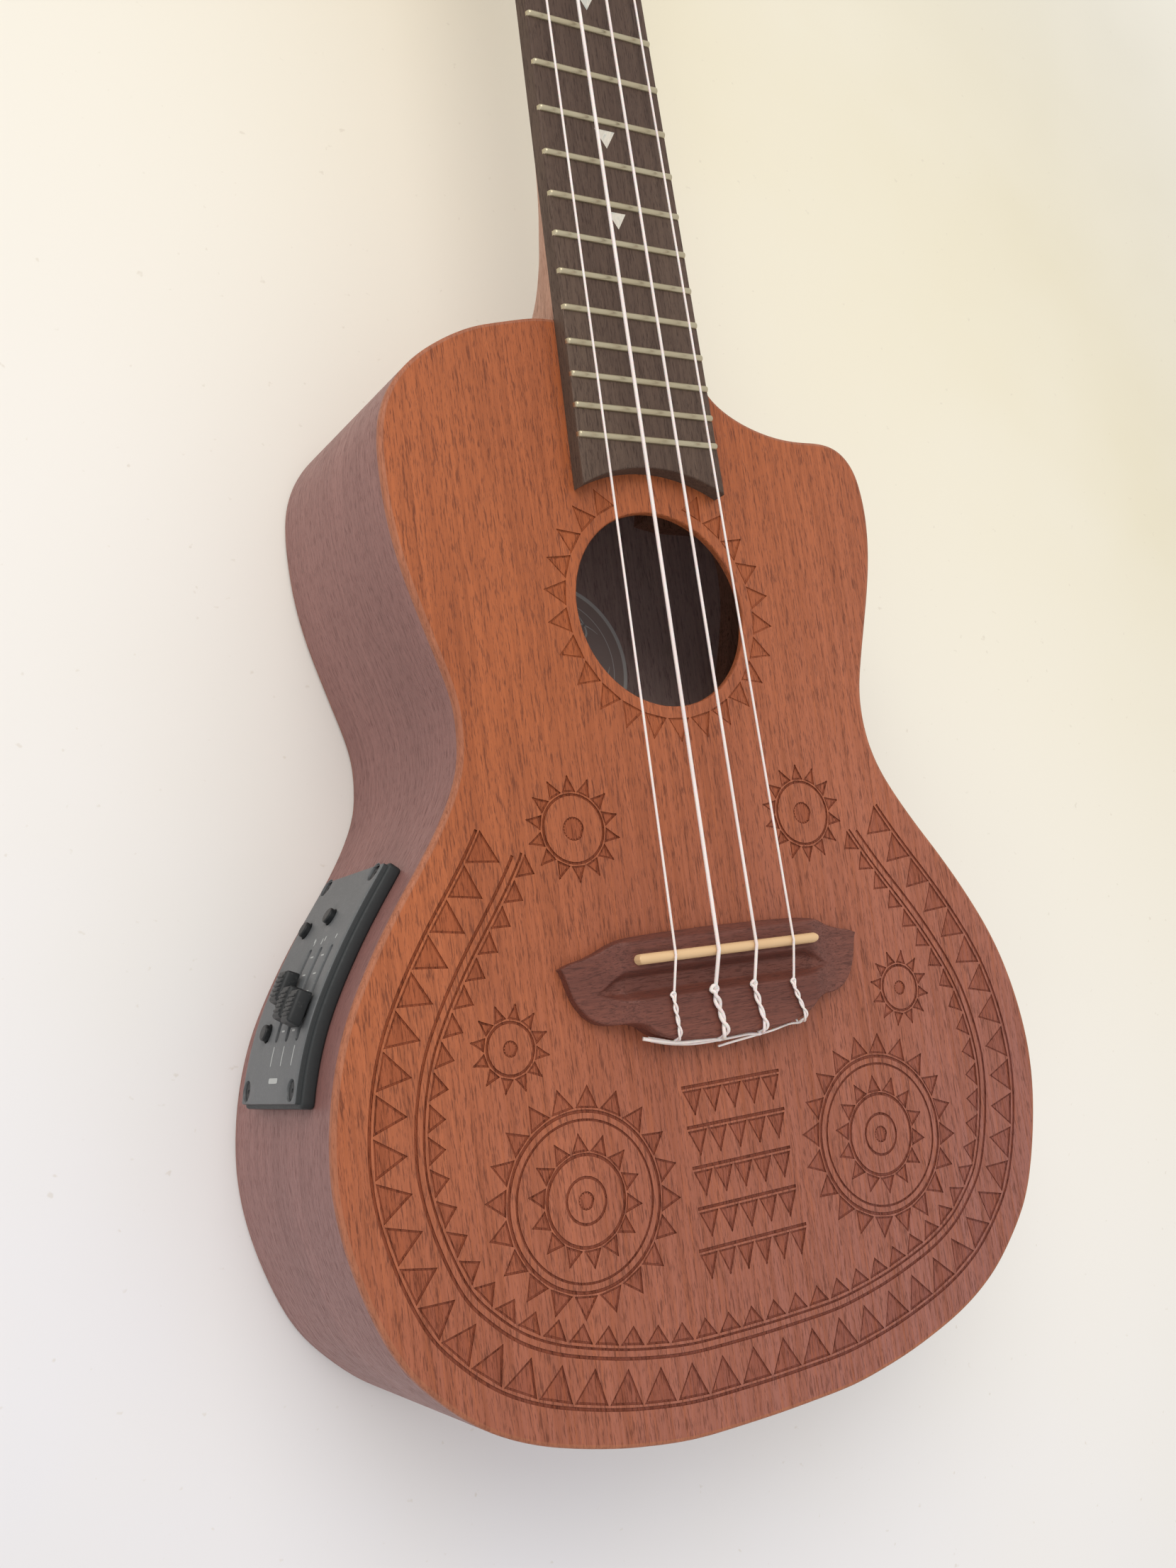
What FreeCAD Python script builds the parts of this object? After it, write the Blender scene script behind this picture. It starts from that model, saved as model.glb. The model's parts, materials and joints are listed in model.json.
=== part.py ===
import FreeCAD, Part
import math
import os

# Concert ukulele with a cutaway and a side preamp, lying on its back.
# +Z out of the soundboard, +Y towards the headstock, +X towards the treble side.
# Origin: on the centreline of the back's outer face, under the saddle line.

os.makedirs("parts", exist_ok=True)
V = FreeCAD.Vector

# ---------------------------------------------------------------- dimensions
SCALE = 381.0            # nut front face to the saddle line
FRETS = 18
BODY_D = 68.0            # back's outer face to the soundboard's outer face
PLATE_T = 2.0            # soundboard and back
SIDE_T = 1.8
HOLE_Y, HOLE_R = 89.9, 26.4
BODY_END = 168.6         # where the body meets the neck
FB_T = 4.9               # fretboard thickness
FB_NUT_HW = 17.5         # fretboard half width at the nut
FB_TAPER = 0.0198        # half width gained per mm towards the body
FB_ARC_Y, FB_ARC_R = 80.5, 46.5   # concave end of the fretboard
FRET_H, FRET_W = 0.95, 2.2
NUT_T = 5.0
NUT_BOTTOM_Z = 74.3      # underside of the strings on the nut
SADDLE_Z = 77.0          # underside of the strings on the saddle
SADDLE_Y = -0.9
SADDLE_HALF = 28.2
SADDLE_T = 2.6
STRINGS = [("g", -17.9, -13.2, 0.33), ("c", -4.9, -4.4, 0.52),
           ("e", 7.1, 4.4, 0.42), ("a", 19.3, 13.2, 0.33)]   # name, x saddle, x nut, radius
TIE_HOLE_Z = 72.7
HEAD_TILT = 13.0         # headstock leans back
HEAD_T = 13.5
VENEER_T = 1.2
POST_X = 19.0
POST_U = {"g": 38.0, "a": 38.0, "c": 88.0, "e": 88.0}
POST_R = 3.0
WORM_U = 7.2             # worm axis from the post axis
GEAR_TEETH = 14
TUNER_W = -18.4          # height of the worm axis under the headstock's face
JACK_Z = 34.0
JACK_BORE_R = 3.25
# preamp faceplate, measured along the bass side's outer line from the tail seam
PRE_T0, PRE_T1 = 165.4, 225.2
PRE_Z0, PRE_Z1 = 17.6, 56.7
PRE_PROUD = 4.6
SLOT_T0, SLOT_T1 = 180.0, 202.8
SLOT_Z = [49.9, 42.9, 36.0]      # three sliders
SLIDER_T = [186.3, 187.6, 192.0]
BTN = [("mute", 211.2, 38.8), ("tuner", 208.9, 25.2), ("phase", 182.3, 28.6)]

TOP = BODY_D

# ---------------------------------------------------------------- helpers
def export(shape, name):
    solids = shape.Solids
    ok = shape.isValid() and len(solids) > 0
    print(f"{name:24s} solids {len(solids)} valid {shape.isValid()} volume {shape.Volume:.1f}")
    if not ok:
        raise SystemExit("bad shape " + name)
    out = solids[0] if len(solids) == 1 else Part.makeCompound(solids)
    out.exportStep("parts/" + name + ".step")


def spline(pts, t0=None, t1=None):
    c = Part.BSplineCurve()
    kw = {"Points": [V(*p) for p in pts]}
    if t0 is not None:
        kw["InitialTangent"] = V(*t0)
        kw["FinalTangent"] = V(*t1)
    c.interpolate(**kw)
    return c


def box(x0, x1, y0, y1, z0, z1):
    return Part.makeBox(x1 - x0, y1 - y0, z1 - z0, V(x0, y0, z0))


def cyl(r, h, base, axis):
    return Part.makeCylinder(r, h, V(*base), V(*axis))


def line(a, b):
    return Part.makeLine(V(*a), V(*b))


def poly_face(pts):
    return Part.Face(Part.makePolygon([V(*p) for p in pts] + [V(*pts[0])]))


def dense(pts, t0, t1, n):
    c = spline([(x, y, 0) for x, y in pts], t0, t1)
    a, b = c.FirstParameter, c.LastParameter
    raw = [c.value(a + (b - a) * i / (n * 3)) for i in range(n * 3 + 1)]
    return even([(p.x, p.y) for p in raw], n)


def even(P, n):
    d = [0.0]
    for a, b in zip(P, P[1:]):
        d.append(d[-1] + math.hypot(b[0] - a[0], b[1] - a[1]))
    out, j = [], 0
    for i in range(n + 1):
        s = d[-1] * i / n
        while j < len(d) - 2 and d[j + 1] < s:
            j += 1
        f = (s - d[j]) / max(d[j + 1] - d[j], 1e-9)
        out.append((P[j][0] + f * (P[j + 1][0] - P[j][0]), P[j][1] + f * (P[j + 1][1] - P[j][1])))
    return out


def smooth(P, rounds):
    def run(Q):
        for _ in range(rounds):
            Q = [Q[0]] + [((Q[i - 1][0] + 2 * Q[i][0] + Q[i + 1][0]) / 4,
                           (Q[i - 1][1] + 2 * Q[i][1] + Q[i + 1][1]) / 4)
                          for i in range(1, len(Q) - 1)] + [Q[-1]]
        return Q
    S = run(P)
    D = run([(p[0] - s[0], p[1] - s[1]) for p, s in zip(P, S)])
    return [(s[0] + d[0], s[1] + d[1]) for s, d in zip(S, D)]


def length_table(P):
    d = [0.0]
    for a, b in zip(P, P[1:]):
        d.append(d[-1] + math.hypot(b[0] - a[0], b[1] - a[1]))
    return d


def offset(P, dist):
    """Moves an outline sideways: positive is to the left of its direction."""
    out = []
    for i in range(len(P)):
        a = P[max(i - 1, 0)]
        b = P[min(i + 1, len(P) - 1)]
        tx, ty = b[0] - a[0], b[1] - a[1]
        n = math.hypot(tx, ty)
        out.append((P[i][0] - ty / n * dist, P[i][1] + tx / n * dist))
    return out


def curve_edge(P, z=0.0, step=6):
    idx = list(range(0, len(P) - 1, step)) + [len(P) - 1]
    if len(idx) > 2 and idx[-1] - idx[-2] < step // 2:
        idx.pop(-2)
    return spline([(P[i][0], P[i][1], z) for i in idx]).toShape()


def strip(outer, inner, z0, z1):
    """A wall between two open outlines that run the same way."""
    e = [curve_edge(outer, z0), line((*outer[-1], z0), (*inner[-1], z0)),
         curve_edge(inner, z0), line((*inner[0], z0), (*outer[0], z0))]
    return Part.Face(Part.Wire(Part.__sortEdges__(e))).extrude(V(0, 0, z1 - z0))


def tube(pts, r, radii):
    """Straight runs joined by tangent arcs, one radius a corner."""
    P = [V(*p) for p in pts]
    edges, start = [], P[0]
    for i in range(1, len(P) - 1):
        a, b, c = P[i - 1], P[i], P[i + 1]
        u = (a - b).normalize()
        w = (c - b).normalize()
        ang = math.acos(max(-1, min(1, u.dot(w))))
        R = radii[i - 1]
        t = R / math.tan(ang / 2)
        pa, pb = b + u * t, b + w * t
        bis = (u + w).normalize()
        centre = b + bis * (R / math.sin(ang / 2))
        mid = centre - bis * R
        edges.append(Part.LineSegment(start, pa).toShape())
        edges.append(Part.Arc(pa, mid, pb).toShape())
        start = pb
    edges.append(Part.LineSegment(start, P[-1]).toShape())
    wire = Part.Wire(edges)
    d0 = (P[1] - P[0]).normalize()
    prof = Part.Wire(Part.Edge(Part.Circle(P[0], d0, r)))
    s = wire.makePipeShell([prof], True, False)
    print(f"   tube length {wire.Length:.1f} volume ratio {s.Volume / (math.pi * r * r * wire.Length):.4f}")
    return s


def frame_matrix(o, ex, ey, ez):
    return FreeCAD.Matrix(ex.x, ey.x, ez.x, o.x, ex.y, ey.y, ez.y, o.y, ex.z, ey.z, ez.z, o.z, 0, 0, 0, 1)


def placed(shape, m):
    s = shape.copy()
    s.Placement = FreeCAD.Placement(m).multiply(s.Placement)
    return s


# ---------------------------------------------------------------- body outline
LOWER = [(0, -115.3), (14, -115.1), (25.3, -114.6), (35, -113.3), (45, -111.4), (55, -108.8), (64.6, -105.7),
         (73.7, -101.6), (81.6, -96.6), (89, -90), (95.9, -82), (100.8, -72.6), (104.2, -63), (106.6, -53.3),
         (107.8, -43.3), (107.5, -33.3), (106, -23.7), (103.4, -14.1), (99.8, -5.2), (95.4, 2.9), (90.8, 10.3),
         (86.3, 16.8), (81.8, 22.9), (77.7, 28.3), (74, 33.6), (71, 38.2), (68.5, 42.8), (66.2, 48), (65, 53.3),
         (64.4, 60), (64.9, 66.5), (67.2, 75.5)]
BASS = [(-x, y) for x, y in LOWER] + [(-70.5, 86.5), (-73.9, 99), (-75.9, 111), (-76.5, 123.4), (-75.9, 132.8),
                                      (-73.7, 140.7), (-70.1, 146.9), (-65.1, 152.4), (-58.4, 157.4), (-50, 162),
                                      (-42, 164.9), (-32.5, 167.2), (-22, BODY_END)]
TREBLE = LOWER + [(71.4, 88.4), (76.2, 104.8), (78.2, 120), (77.3, 130), (74.2, 137), (68.3, 140.6), (59.3, 141.1),
                  (48.9, 141.6), (38.6, 144.2), (29.8, 148.8), (25.2, 154), (23.2, 161), (22.6, BODY_END)]
bass = smooth(dense(BASS, (-1, 0, 0), (1, 0.02, 0), 330), 8)
treble = smooth(dense(TREBLE, (1, 0, 0), (-0.02, 1, 0), 350), 8)
bass_len = length_table(bass)

# The bass outline runs clockwise, so its left side is outside the body.
def bass_at(t, out=0.0):
    """Point, direction and outward normal of the bass side at a length along it."""
    j = 0
    while j < len(bass_len) - 2 and bass_len[j + 1] < t:
        j += 1
    a, b = bass[max(j - 2, 0)], bass[min(j + 3, len(bass) - 1)]
    T = V(b[0] - a[0], b[1] - a[1], 0).normalize()
    f = (t - bass_len[j]) / (bass_len[j + 1] - bass_len[j])
    p = V(bass[j][0] + f * (bass[j + 1][0] - bass[j][0]), bass[j][1] + f * (bass[j + 1][1] - bass[j][1]), 0)
    N = V(-T.y, T.x, 0)
    return p + N * out, T, N


def plate(z0, z1):
    e = [curve_edge(bass, z0), line((-22, BODY_END, z0), (22.6, BODY_END, z0)), curve_edge(treble, z0)]
    return Part.Face(Part.Wire(Part.__sortEdges__(e))).extrude(V(0, 0, z1 - z0))


# ---------------------------------------------------------------- soundboard and back
soundboard = plate(TOP - PLATE_T, TOP)
soundboard = soundboard.cut(cyl(HOLE_R, 10, (0, HOLE_Y, TOP - 5), (0, 0, 1)))
pickup_hole = cyl(1.5, 12, (-26.2, SADDLE_Y, 62), (0, 0, 1))
soundboard = soundboard.cut(pickup_hole)
export(soundboard, "soundboard")
export(plate(0, PLATE_T), "back_plate")

# ---------------------------------------------------------------- preamp frame on the bass side
PRE_TC = (PRE_T0 + PRE_T1) / 2
pc, pT, pN = bass_at(PRE_TC)
# the sliders run along the chord of their slots
sa, _, _ = bass_at(SLOT_T0)
sb, _, _ = bass_at(SLOT_T1)
sT = (sb - sa).normalize()
sN = V(-sT.y, sT.x, 0)


def pre_solid(u0, u1, z0, z1, w0, w1, origin=pc, T=sT, N=sN):
    """A block along the slider direction, between two heights, and from w0 to w1 outwards."""
    c = []
    for (u, w) in ((u0, w0), (u1, w0), (u1, w1), (u0, w1)):
        p = origin + T * u + N * w
        c.append((p.x, p.y, z0))
    return poly_face(c).extrude(V(0, 0, z1 - z0))


def pre_u(t, w=0.0):
    p, _, _ = bass_at(t)
    return (p - pc).dot(sT)


def surface_w(t):
    p, _, _ = bass_at(t)
    return (p - pc).dot(sN)


w_hi = max(surface_w(PRE_T0 + i) for i in range(60))
w_slot = max(surface_w(SLOT_T0 + i) for i in range(28))
w_slot_lo = min(surface_w(SLOT_T0 + i) for i in range(28))
print("preamp centre", pc, "slider direction", sT, "normal", sN, "surface", w_hi, w_slot, w_slot_lo)

# ---------------------------------------------------------------- sides
bass_in = offset(bass, -SIDE_T)
treble_in = offset(treble, SIDE_T)
side_bass_e = [curve_edge(bass, 0), line((-22, BODY_END, 0), (20.25, BODY_END, 0)),
               line((20.25, BODY_END, 0), (20.25, BODY_END - SIDE_T, 0)),
               line((20.25, BODY_END - SIDE_T, 0), (bass_in[-1][0], bass_in[-1][1], 0)), curve_edge(bass_in, 0),
               line((bass_in[0][0], bass_in[0][1], 0), (0, bass[0][1], 0))]
side_bass = Part.Face(Part.Wire(Part.__sortEdges__(side_bass_e))).extrude(V(0, 0, TOP - 2 * PLATE_T))
side_bass.translate(V(0, 0, PLATE_T))
side_treble = strip(treble, treble_in, PLATE_T, TOP - PLATE_T)
# a hair of room at the tail seam and beside the neck block
side_bass = side_bass.cut(box(-0.03, 2, -120, -110, 0, TOP))
side_treble = side_treble.cut(box(-2, 0.03, -120, -110, 0, TOP))
jack_hole = cyl(6.05, 40, (0, -130, JACK_Z), (0, 1, 0))
cut_u0, cut_u1, cut_z0, cut_z1 = -24.5, 24.5, 22.0, 52.6
side_cut = pre_solid(cut_u0, cut_u1, cut_z0, cut_z1, -12, 12)
SCREWS = [(t, z) for t in (PRE_T0 + 3.9, PRE_T1 - 3.1) for z in (PRE_Z0 + 3.8, PRE_Z1 - 4.6)]
screw_shanks = []
for t, z in SCREWS:
    p, T, N = bass_at(t)
    screw_shanks.append((p, N, z))
side_bass = side_bass.cut(jack_hole).cut(side_cut)
for p, N, z in screw_shanks:
    side_bass = side_bass.cut(Part.makeCylinder(1.15, 12, V(p.x, p.y, z) - N * 6, N))
side_treble = side_treble.cut(jack_hole)
export(side_bass, "side_bass")
export(side_treble, "side_treble")

# ---------------------------------------------------------------- blocks, linings, braces, bridge plate
neck_block = box(-24, 20.3, 150, BODY_END - SIDE_T - 0.05, PLATE_T, TOP - PLATE_T)
export(neck_block, "neck_block")
tail_block = box(-20, 20, -112.6, -98, PLATE_T, TOP - PLATE_T).cut(jack_hole)
export(tail_block, "tail_block")


def cut_range(P, t0, t1):
    d = length_table(P)
    return [p for p, s in zip(P, d) if t0 <= s <= t1]


def lining(P, sign, t0, t1, z0, z1):
    a = offset(cut_range(P, t0, t1), sign * (SIDE_T + 0.1))
    b = offset(cut_range(P, t0, t1), sign * (SIDE_T + 4.2))
    return strip(a, b, z0, z1)


tb = bass_len[-1]
tt = length_table(treble)[-1]
tops, backs = [], []
for P, s, end in ((bass, -1, tb - 6), (treble, 1, tt - 36)):
    tops.append(lining(P, s, 24, end, TOP - PLATE_T - 6, TOP - PLATE_T))
    backs.append(lining(P, s, 24, end, PLATE_T, PLATE_T + 6))
export(Part.makeCompound(tops), "linings_top")
export(Part.makeCompound(backs), "linings_back")

ZT = TOP - PLATE_T


def bar(x0, y0, x1, y1, w, z0, z1):
    d = V(x1 - x0, y1 - y0, 0).normalize()
    n = V(-d.y, d.x, 0) * (w / 2)
    a, b = V(x0, y0, z0), V(x1, y1, z0)
    return Part.Face(Part.makePolygon([a + n, b + n, b - n, a - n, a + n])).extrude(V(0, 0, z1 - z0))


def scalloped(x0, x1, y, w, z0, z1, down):
    """A cross bar whose ends taper towards the plate."""
    h = z1 - z0
    if down:
        prof = [(x0, z1), (x1, z1), (x1, z1 - h * 0.35), (x1 - 16, z0), (x0 + 16, z0), (x0, z1 - h * 0.35)]
    else:
        prof = [(x0, z0), (x1, z0), (x1, z0 + h * 0.35), (x1 - 16, z1), (x0 + 16, z1), (x0, z0 + h * 0.35)]
    return poly_face([(x, y - w / 2, z) for x, z in prof]).extrude(V(0, w, 0))


sb_braces = [scalloped(-67, 67, 129, 6, ZT - 9, ZT, True), scalloped(-57, 57, 55, 6, ZT - 9, ZT, True),
             bar(0, -30, 0, -96, 4, ZT - 4.5, ZT), bar(-24, -30, -36, -90, 4, ZT - 4.5, ZT),
             bar(24, -30, 36, -90, 4, ZT - 4.5, ZT)]
export(Part.makeCompound(sb_braces), "soundboard_braces")
bk_braces = [scalloped(-50, 22, 144.5, 6, PLATE_T, PLATE_T + 9, False),
             scalloped(-57, 57, 55, 6, PLATE_T, PLATE_T + 9, False),
             scalloped(-98, 98, -34, 6, PLATE_T, PLATE_T + 9, False)]
export(Part.makeCompound(bk_braces), "back_braces")
export(box(-52, 52, -26, 10, ZT - 1.5, ZT).cut(pickup_hole), "bridge_plate")
export(cyl(27.0, 0.2, (4, 91, PLATE_T), (0, 0, 1)), "label")

# ---------------------------------------------------------------- bridge and saddle
BR_UP = [(46.7, -0.8), (44, 0.2), (40, 1.0), (36, 2.2), (32.5, 3.6), (28, 4.7), (20, 5.2), (10, 5.4), (0, 5.5)]
BR_LO = [(46.7, -0.8), (45.9, -2.4), (45.1, -5.4), (43.7, -9.2), (41.3, -12.6), (38.3, -14.8), (34.6, -15.7),
         (30.4, -15.9), (27.4, -16.7), (24.8, -18.6), (21.6, -20.3), (17, -21.5), (9, -22.3), (0, -22.5)]


def half_edges(z):
    e = []
    for s in (1, -1):
        e.append(spline([(s * x, y, z) for x, y in BR_UP], (-s * 1, 0.3, 0), (-s * 1, 0, 0)).toShape())
        e.append(spline([(s * x, y, z) for x, y in BR_LO], (-s * 0.3, -1, 0), (-s * 1, 0, 0)).toShape())
    return Part.Wire(Part.__sortEdges__(e))


BR_TOP = 75.4
bridge = Part.Face(half_edges(TOP)).extrude(V(0, 0, BR_TOP - TOP))
for s in (1, -1):
    # the wings fall from the middle block to thin tips
    w = [(s * 27.5, BR_TOP + 1), (s * 27.5, BR_TOP), (s * 29.5, 74.2), (s * 33, 72.4), (s * 38, 71.2), (s * 43, 70.7),
         (s * 50, 70.5), (s * 50, BR_TOP + 1)]
    bridge = bridge.cut(poly_face([(x, -30, z) for x, z in w]).extrude(V(0, 40, 0)))
# front slope, saddle ridge, channel between the ridge and the tie block, rounded rear edge
front = [(3.0, BR_TOP + 1), (3.0, 74.4), (7, 69.6), (7, BR_TOP + 1)]
bridge = bridge.cut(poly_face([(-60, y, z) for y, z in front]).extrude(V(120, 0, 0)))
bridge = bridge.cut(box(-60, 60, -3.4, 8, 74.4, 78))
chan = [(-3.2, 78), (-3.2, 74.4), (-4.4, 71.6), (-6.6, 71.2), (-8.2, 71.9), (-9.6, 75.0), (-10.6, BR_TOP), (-10.6, 78)]
bridge = bridge.cut(poly_face([(-36, y, z) for y, z in chan]).extrude(V(72, 0, 0)))
rear = [(-19.2, 78), (-19.2, BR_TOP), (-21.4, 74.4), (-23, 72.2), (-25, 72.2), (-25, 78)]
bridge = bridge.cut(poly_face([(-60, y, z) for y, z in rear]).extrude(V(120, 0, 0)))


def slot_prism(half, t, z0, z1, y):
    a = box(-half + t / 2, half - t / 2, y - t / 2, y + t / 2, z0, z1)
    b = cyl(t / 2, z1 - z0, (-half + t / 2, y, z0), (0, 0, 1))
    c = cyl(t / 2, z1 - z0, (half - t / 2, y, z0), (0, 0, 1))
    return a.fuse(b).fuse(c).removeSplitter()


bridge = bridge.cut(slot_prism(SADDLE_HALF + 0.05, SADDLE_T + 0.1, 70.6, 80, SADDLE_Y)).cut(pickup_hole.translated(V(0, 0, 4)))
for n, xs, xn, r in STRINGS:
    bridge = bridge.cut(cyl(0.85, 30, (xs, -30, TIE_HOLE_Z), (0, 1, 0)).common(box(-60, 60, -30, -6, 0, 100)))
export(bridge, "bridge")
saddle = slot_prism(SADDLE_HALF, SADDLE_T, 72.0, SADDLE_Z - 1.2, SADDLE_Y)
crown = slot_prism(SADDLE_HALF, SADDLE_T, SADDLE_Z - 1.3, SADDLE_Z, SADDLE_Y)
prof = Part.Wire([Part.Arc(V(-40, SADDLE_Y - 1.3, SADDLE_Z - 1.2), V(-40, SADDLE_Y, SADDLE_Z),
                           V(-40, SADDLE_Y + 1.3, SADDLE_Z - 1.2)).toShape(),
                  line((-40, SADDLE_Y + 1.3, SADDLE_Z - 1.2), (-40, SADDLE_Y + 1.3, SADDLE_Z - 3)),
                  line((-40, SADDLE_Y + 1.3, SADDLE_Z - 3), (-40, SADDLE_Y - 1.3, SADDLE_Z - 3)),
                  line((-40, SADDLE_Y - 1.3, SADDLE_Z - 3), (-40, SADDLE_Y - 1.3, SADDLE_Z - 1.2))])
crown = crown.common(Part.Face(prof).extrude(V(80, 0, 0)))
export(saddle.fuse(crown).removeSplitter(), "saddle")
export(slot_prism(SADDLE_HALF - 0.6, 2.2, 70.65, 71.95, SADDLE_Y), "pickup_strip")

# ---------------------------------------------------------------- neck
def neck_section(y, w, d, k, m, top=TOP):
    pts = []
    n = 12
    for i in range(n + 1):
        s = math.sin(math.pi / 2 * i / n)
        x = w * (1 - k * s) * math.sqrt(max(0.0, 1 - s ** m))
        pts.append((x, y, top - d * s))
    full = pts + [(-x, yy, z) for x, yy, z in reversed(pts[:-1])]
    return Part.Wire([spline(full).toShape(), line(full[-1], full[0])])


def hw(y):
    return FB_NUT_HW + FB_TAPER * (SCALE - y)


SECT = [(BODY_END + 0.05, 60, 0.48, 10), (171, 54.8, 0.48, 8), (174.5, 46.6, 0.47, 5.5), (178.5, 38, 0.44, 4.2),
        (183, 30.8, 0.39, 3.4), (188.5, 25.2, 0.35, 3.0), (195, 21.8, 0.35, 2.8), (203, 19, 0.40, 2.8),
        (214, 17, 0.47, 2.8), (235, 15, 0.58, 2.8), (280, 14, 0.60, 2.8), (330, 13.5, 0.60, 2.8),
        (366, 13.3, 0.56, 2.8), (376, 13.8, 0.34, 2.5), (382, 14.8, 0.10, 2.3), (386, 15.3, 0, 2.2)]
neck = Part.makeLoft([neck_section(y, hw(y) - 0.15, d, k, m) for y, d, k, m in SECT], True, False)
# past the nut the rounded neck opens out into the flat headstock
RUN_OUT = [(386, hw(386) - 0.15, 15.3, 2.2), (390, 18.35, 15.35, 2.6), (395, 20.55, 15.0, 3.6), (400, 23.35, 14.5, 5.5),
           (405.5, 25.75, 14.05, 9), (412, 27.05, 13.84, 14)]
fall = math.tan(math.radians(HEAD_TILT))
neck = neck.fuse(Part.makeLoft([neck_section(y, w, d, 0, m, TOP - (y - 386) * fall - 0.02) for y, w, d, m in RUN_OUT], True, False))
HEAD = [(17.4, -9), (17.5, -2), (18.6, 4), (21.6, 11), (25.2, 18), (27.2, 27), (28.2, 42), (29.6, 62), (31.2, 84),
        (32.4, 104), (32.8, 118), (31.0, 126), (24.5, 130.5), (12, 134), (0, 138.5)]


def head_face(z, inset=0.0, start=0.0):
    pts = [(x - inset, u, z) for x, u in HEAD[:-1] if u >= start - 20]
    e = [spline(pts[:-1] + [(HEAD[-2][0] - inset * 0.5, HEAD[-2][1] - inset, z), (0, HEAD[-1][1] - inset, z)]).toShape()]
    e.append(spline([(-p[0], p[1], z) for p in pts[:-1]]
                    + [(-HEAD[-2][0] + inset * 0.5, HEAD[-2][1] - inset, z), (0, HEAD[-1][1] - inset, z)]).toShape())
    e.append(line((-pts[0][0], pts[0][1], z), pts[0]))
    return Part.Face(Part.Wire(Part.__sortEdges__(e)))


def to_head(shape):
    s = shape.copy()
    s.rotate(V(0, 0, 0), V(1, 0, 0), -HEAD_TILT)
    s.translate(V(0, SCALE + NUT_T, TOP))
    return s


head = head_face(-HEAD_T).extrude(V(0, 0, HEAD_T))
head = head.cut(box(-60, 60, -20, 22.5, -30, 10))
head = to_head(head)
neck = neck.fuse(head).removeSplitter()
neck = neck.cut(box(-60, 60, 300, 386, TOP, TOP + 30))
posts = []
for n in ("g", "c", "e", "a"):
    s = -1 if n in ("g", "c") else 1
    posts.append((n, s, POST_U[n]))
for n, s, u in posts:
    neck = neck.cut(to_head(cyl(4.5, 30, (s * POST_X, u, -20), (0, 0, 1))))
    neck = neck.cut(to_head(cyl(0.9, 6, (s * (POST_X - 3.0), u - 10.6, -HEAD_T), (0, 0, 1))))
export(neck, "neck")
ven = head_face(0.05).extrude(V(0, 0, VENEER_T)).cut(box(-60, 60, -20, 0.9, -5, 10))
for n, s, u in posts:
    ven = ven.cut(cyl(4.5, 30, (s * POST_X, u, -20), (0, 0, 1)))
export(to_head(ven), "headstock_veneer")

# ---------------------------------------------------------------- fretboard, frets, markers, nut
fret_y = [SCALE * 2 ** (-n / 12.0) for n in range(1, FRETS + 1)]
Y_LO = 110
fb = poly_face([(-hw(Y_LO), Y_LO, TOP + 0.02), (hw(Y_LO), Y_LO, TOP + 0.02), (hw(SCALE), SCALE, TOP + 0.02),
                (-hw(SCALE), SCALE, TOP + 0.02)]).extrude(V(0, 0, FB_T - 0.02))
fb = fb.cut(cyl(FB_ARC_R, 20, (0, FB_ARC_Y, TOP - 5), (0, 0, 1)))
FT = TOP + FB_T
fret_solids = []
for y in fret_y:
    h = hw(y)
    fb = fb.cut(box(-h - 1, h + 1, y - 0.3, y + 0.3, FT - 1.7, FT + 1))
    L = 2 * (h - 0.35)
    arc = Part.Arc(V(-L / 2, y - FRET_W / 2, FT + 0.01), V(-L / 2, y, FT + FRET_H), V(-L / 2, y + FRET_W / 2, FT + 0.01)).toShape()
    c = Part.Face(Part.Wire([arc, line((-L / 2, y + FRET_W / 2, FT + 0.01), (-L / 2, y - FRET_W / 2, FT + 0.01))])).extrude(V(L, 0, 0))
    for s in (1, -1):
        tri = poly_face([(s * (L / 2 - 0.75), y - 3, FT + FRET_H + 0.3), (s * (L / 2 + 0.1), y - 3, FT + 0.15),
                         (s * (L / 2 + 2), y - 3, FT + 0.15), (s * (L / 2 + 2), y - 3, FT + FRET_H + 0.3)]).extrude(V(0, 6, 0))
        c = c.cut(tri)
    tang = box(-L / 2 + 0.6, L / 2 - 0.6, y - 0.27, y + 0.27, FT - 1.5, FT + 0.2)
    fret_solids.append(c.fuse(tang).removeSplitter())
markers = []
for n, size in ((5, 1.12), (7, 1.06), (10, 1.0), (12, 0.9)):
    yc = (fret_y[n - 1] + fret_y[n - 2]) / 2 + 1.1
    t = poly_face([(-3.3 * size, yc + 2.7 * size, FT - 1.0), (3.3 * size, yc + 2.7 * size, FT - 1.0),
                   (0, yc - 2.7 * size, FT - 1.0)]).extrude(V(0, 0, 1.0))
    markers.append(t)
    fb = fb.cut(t.fuse(t.translated(V(0, 0, 0.9))))
export(fb, "fretboard")
export(Part.makeCompound(fret_solids), "frets")
export(Part.makeCompound(markers), "fret_markers")
nut = box(-FB_NUT_HW, FB_NUT_HW, SCALE + 0.02, SCALE + NUT_T - 0.02, TOP + 0.02, 75.3)
nut = nut.cut(poly_face([(-30, SCALE + 2.2, 75.4), (-30, SCALE + NUT_T + 1, 75.4), (-30, SCALE + NUT_T + 1, 73.4)]).extrude(V(60, 0, 0)))


# ---------------------------------------------------------------- strings
def head_point(x, u, w):
    a = math.radians(HEAD_TILT)
    return (x, SCALE + NUT_T + u * math.cos(a) + w * math.sin(a), TOP - u * math.sin(a) + w * math.cos(a))


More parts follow.
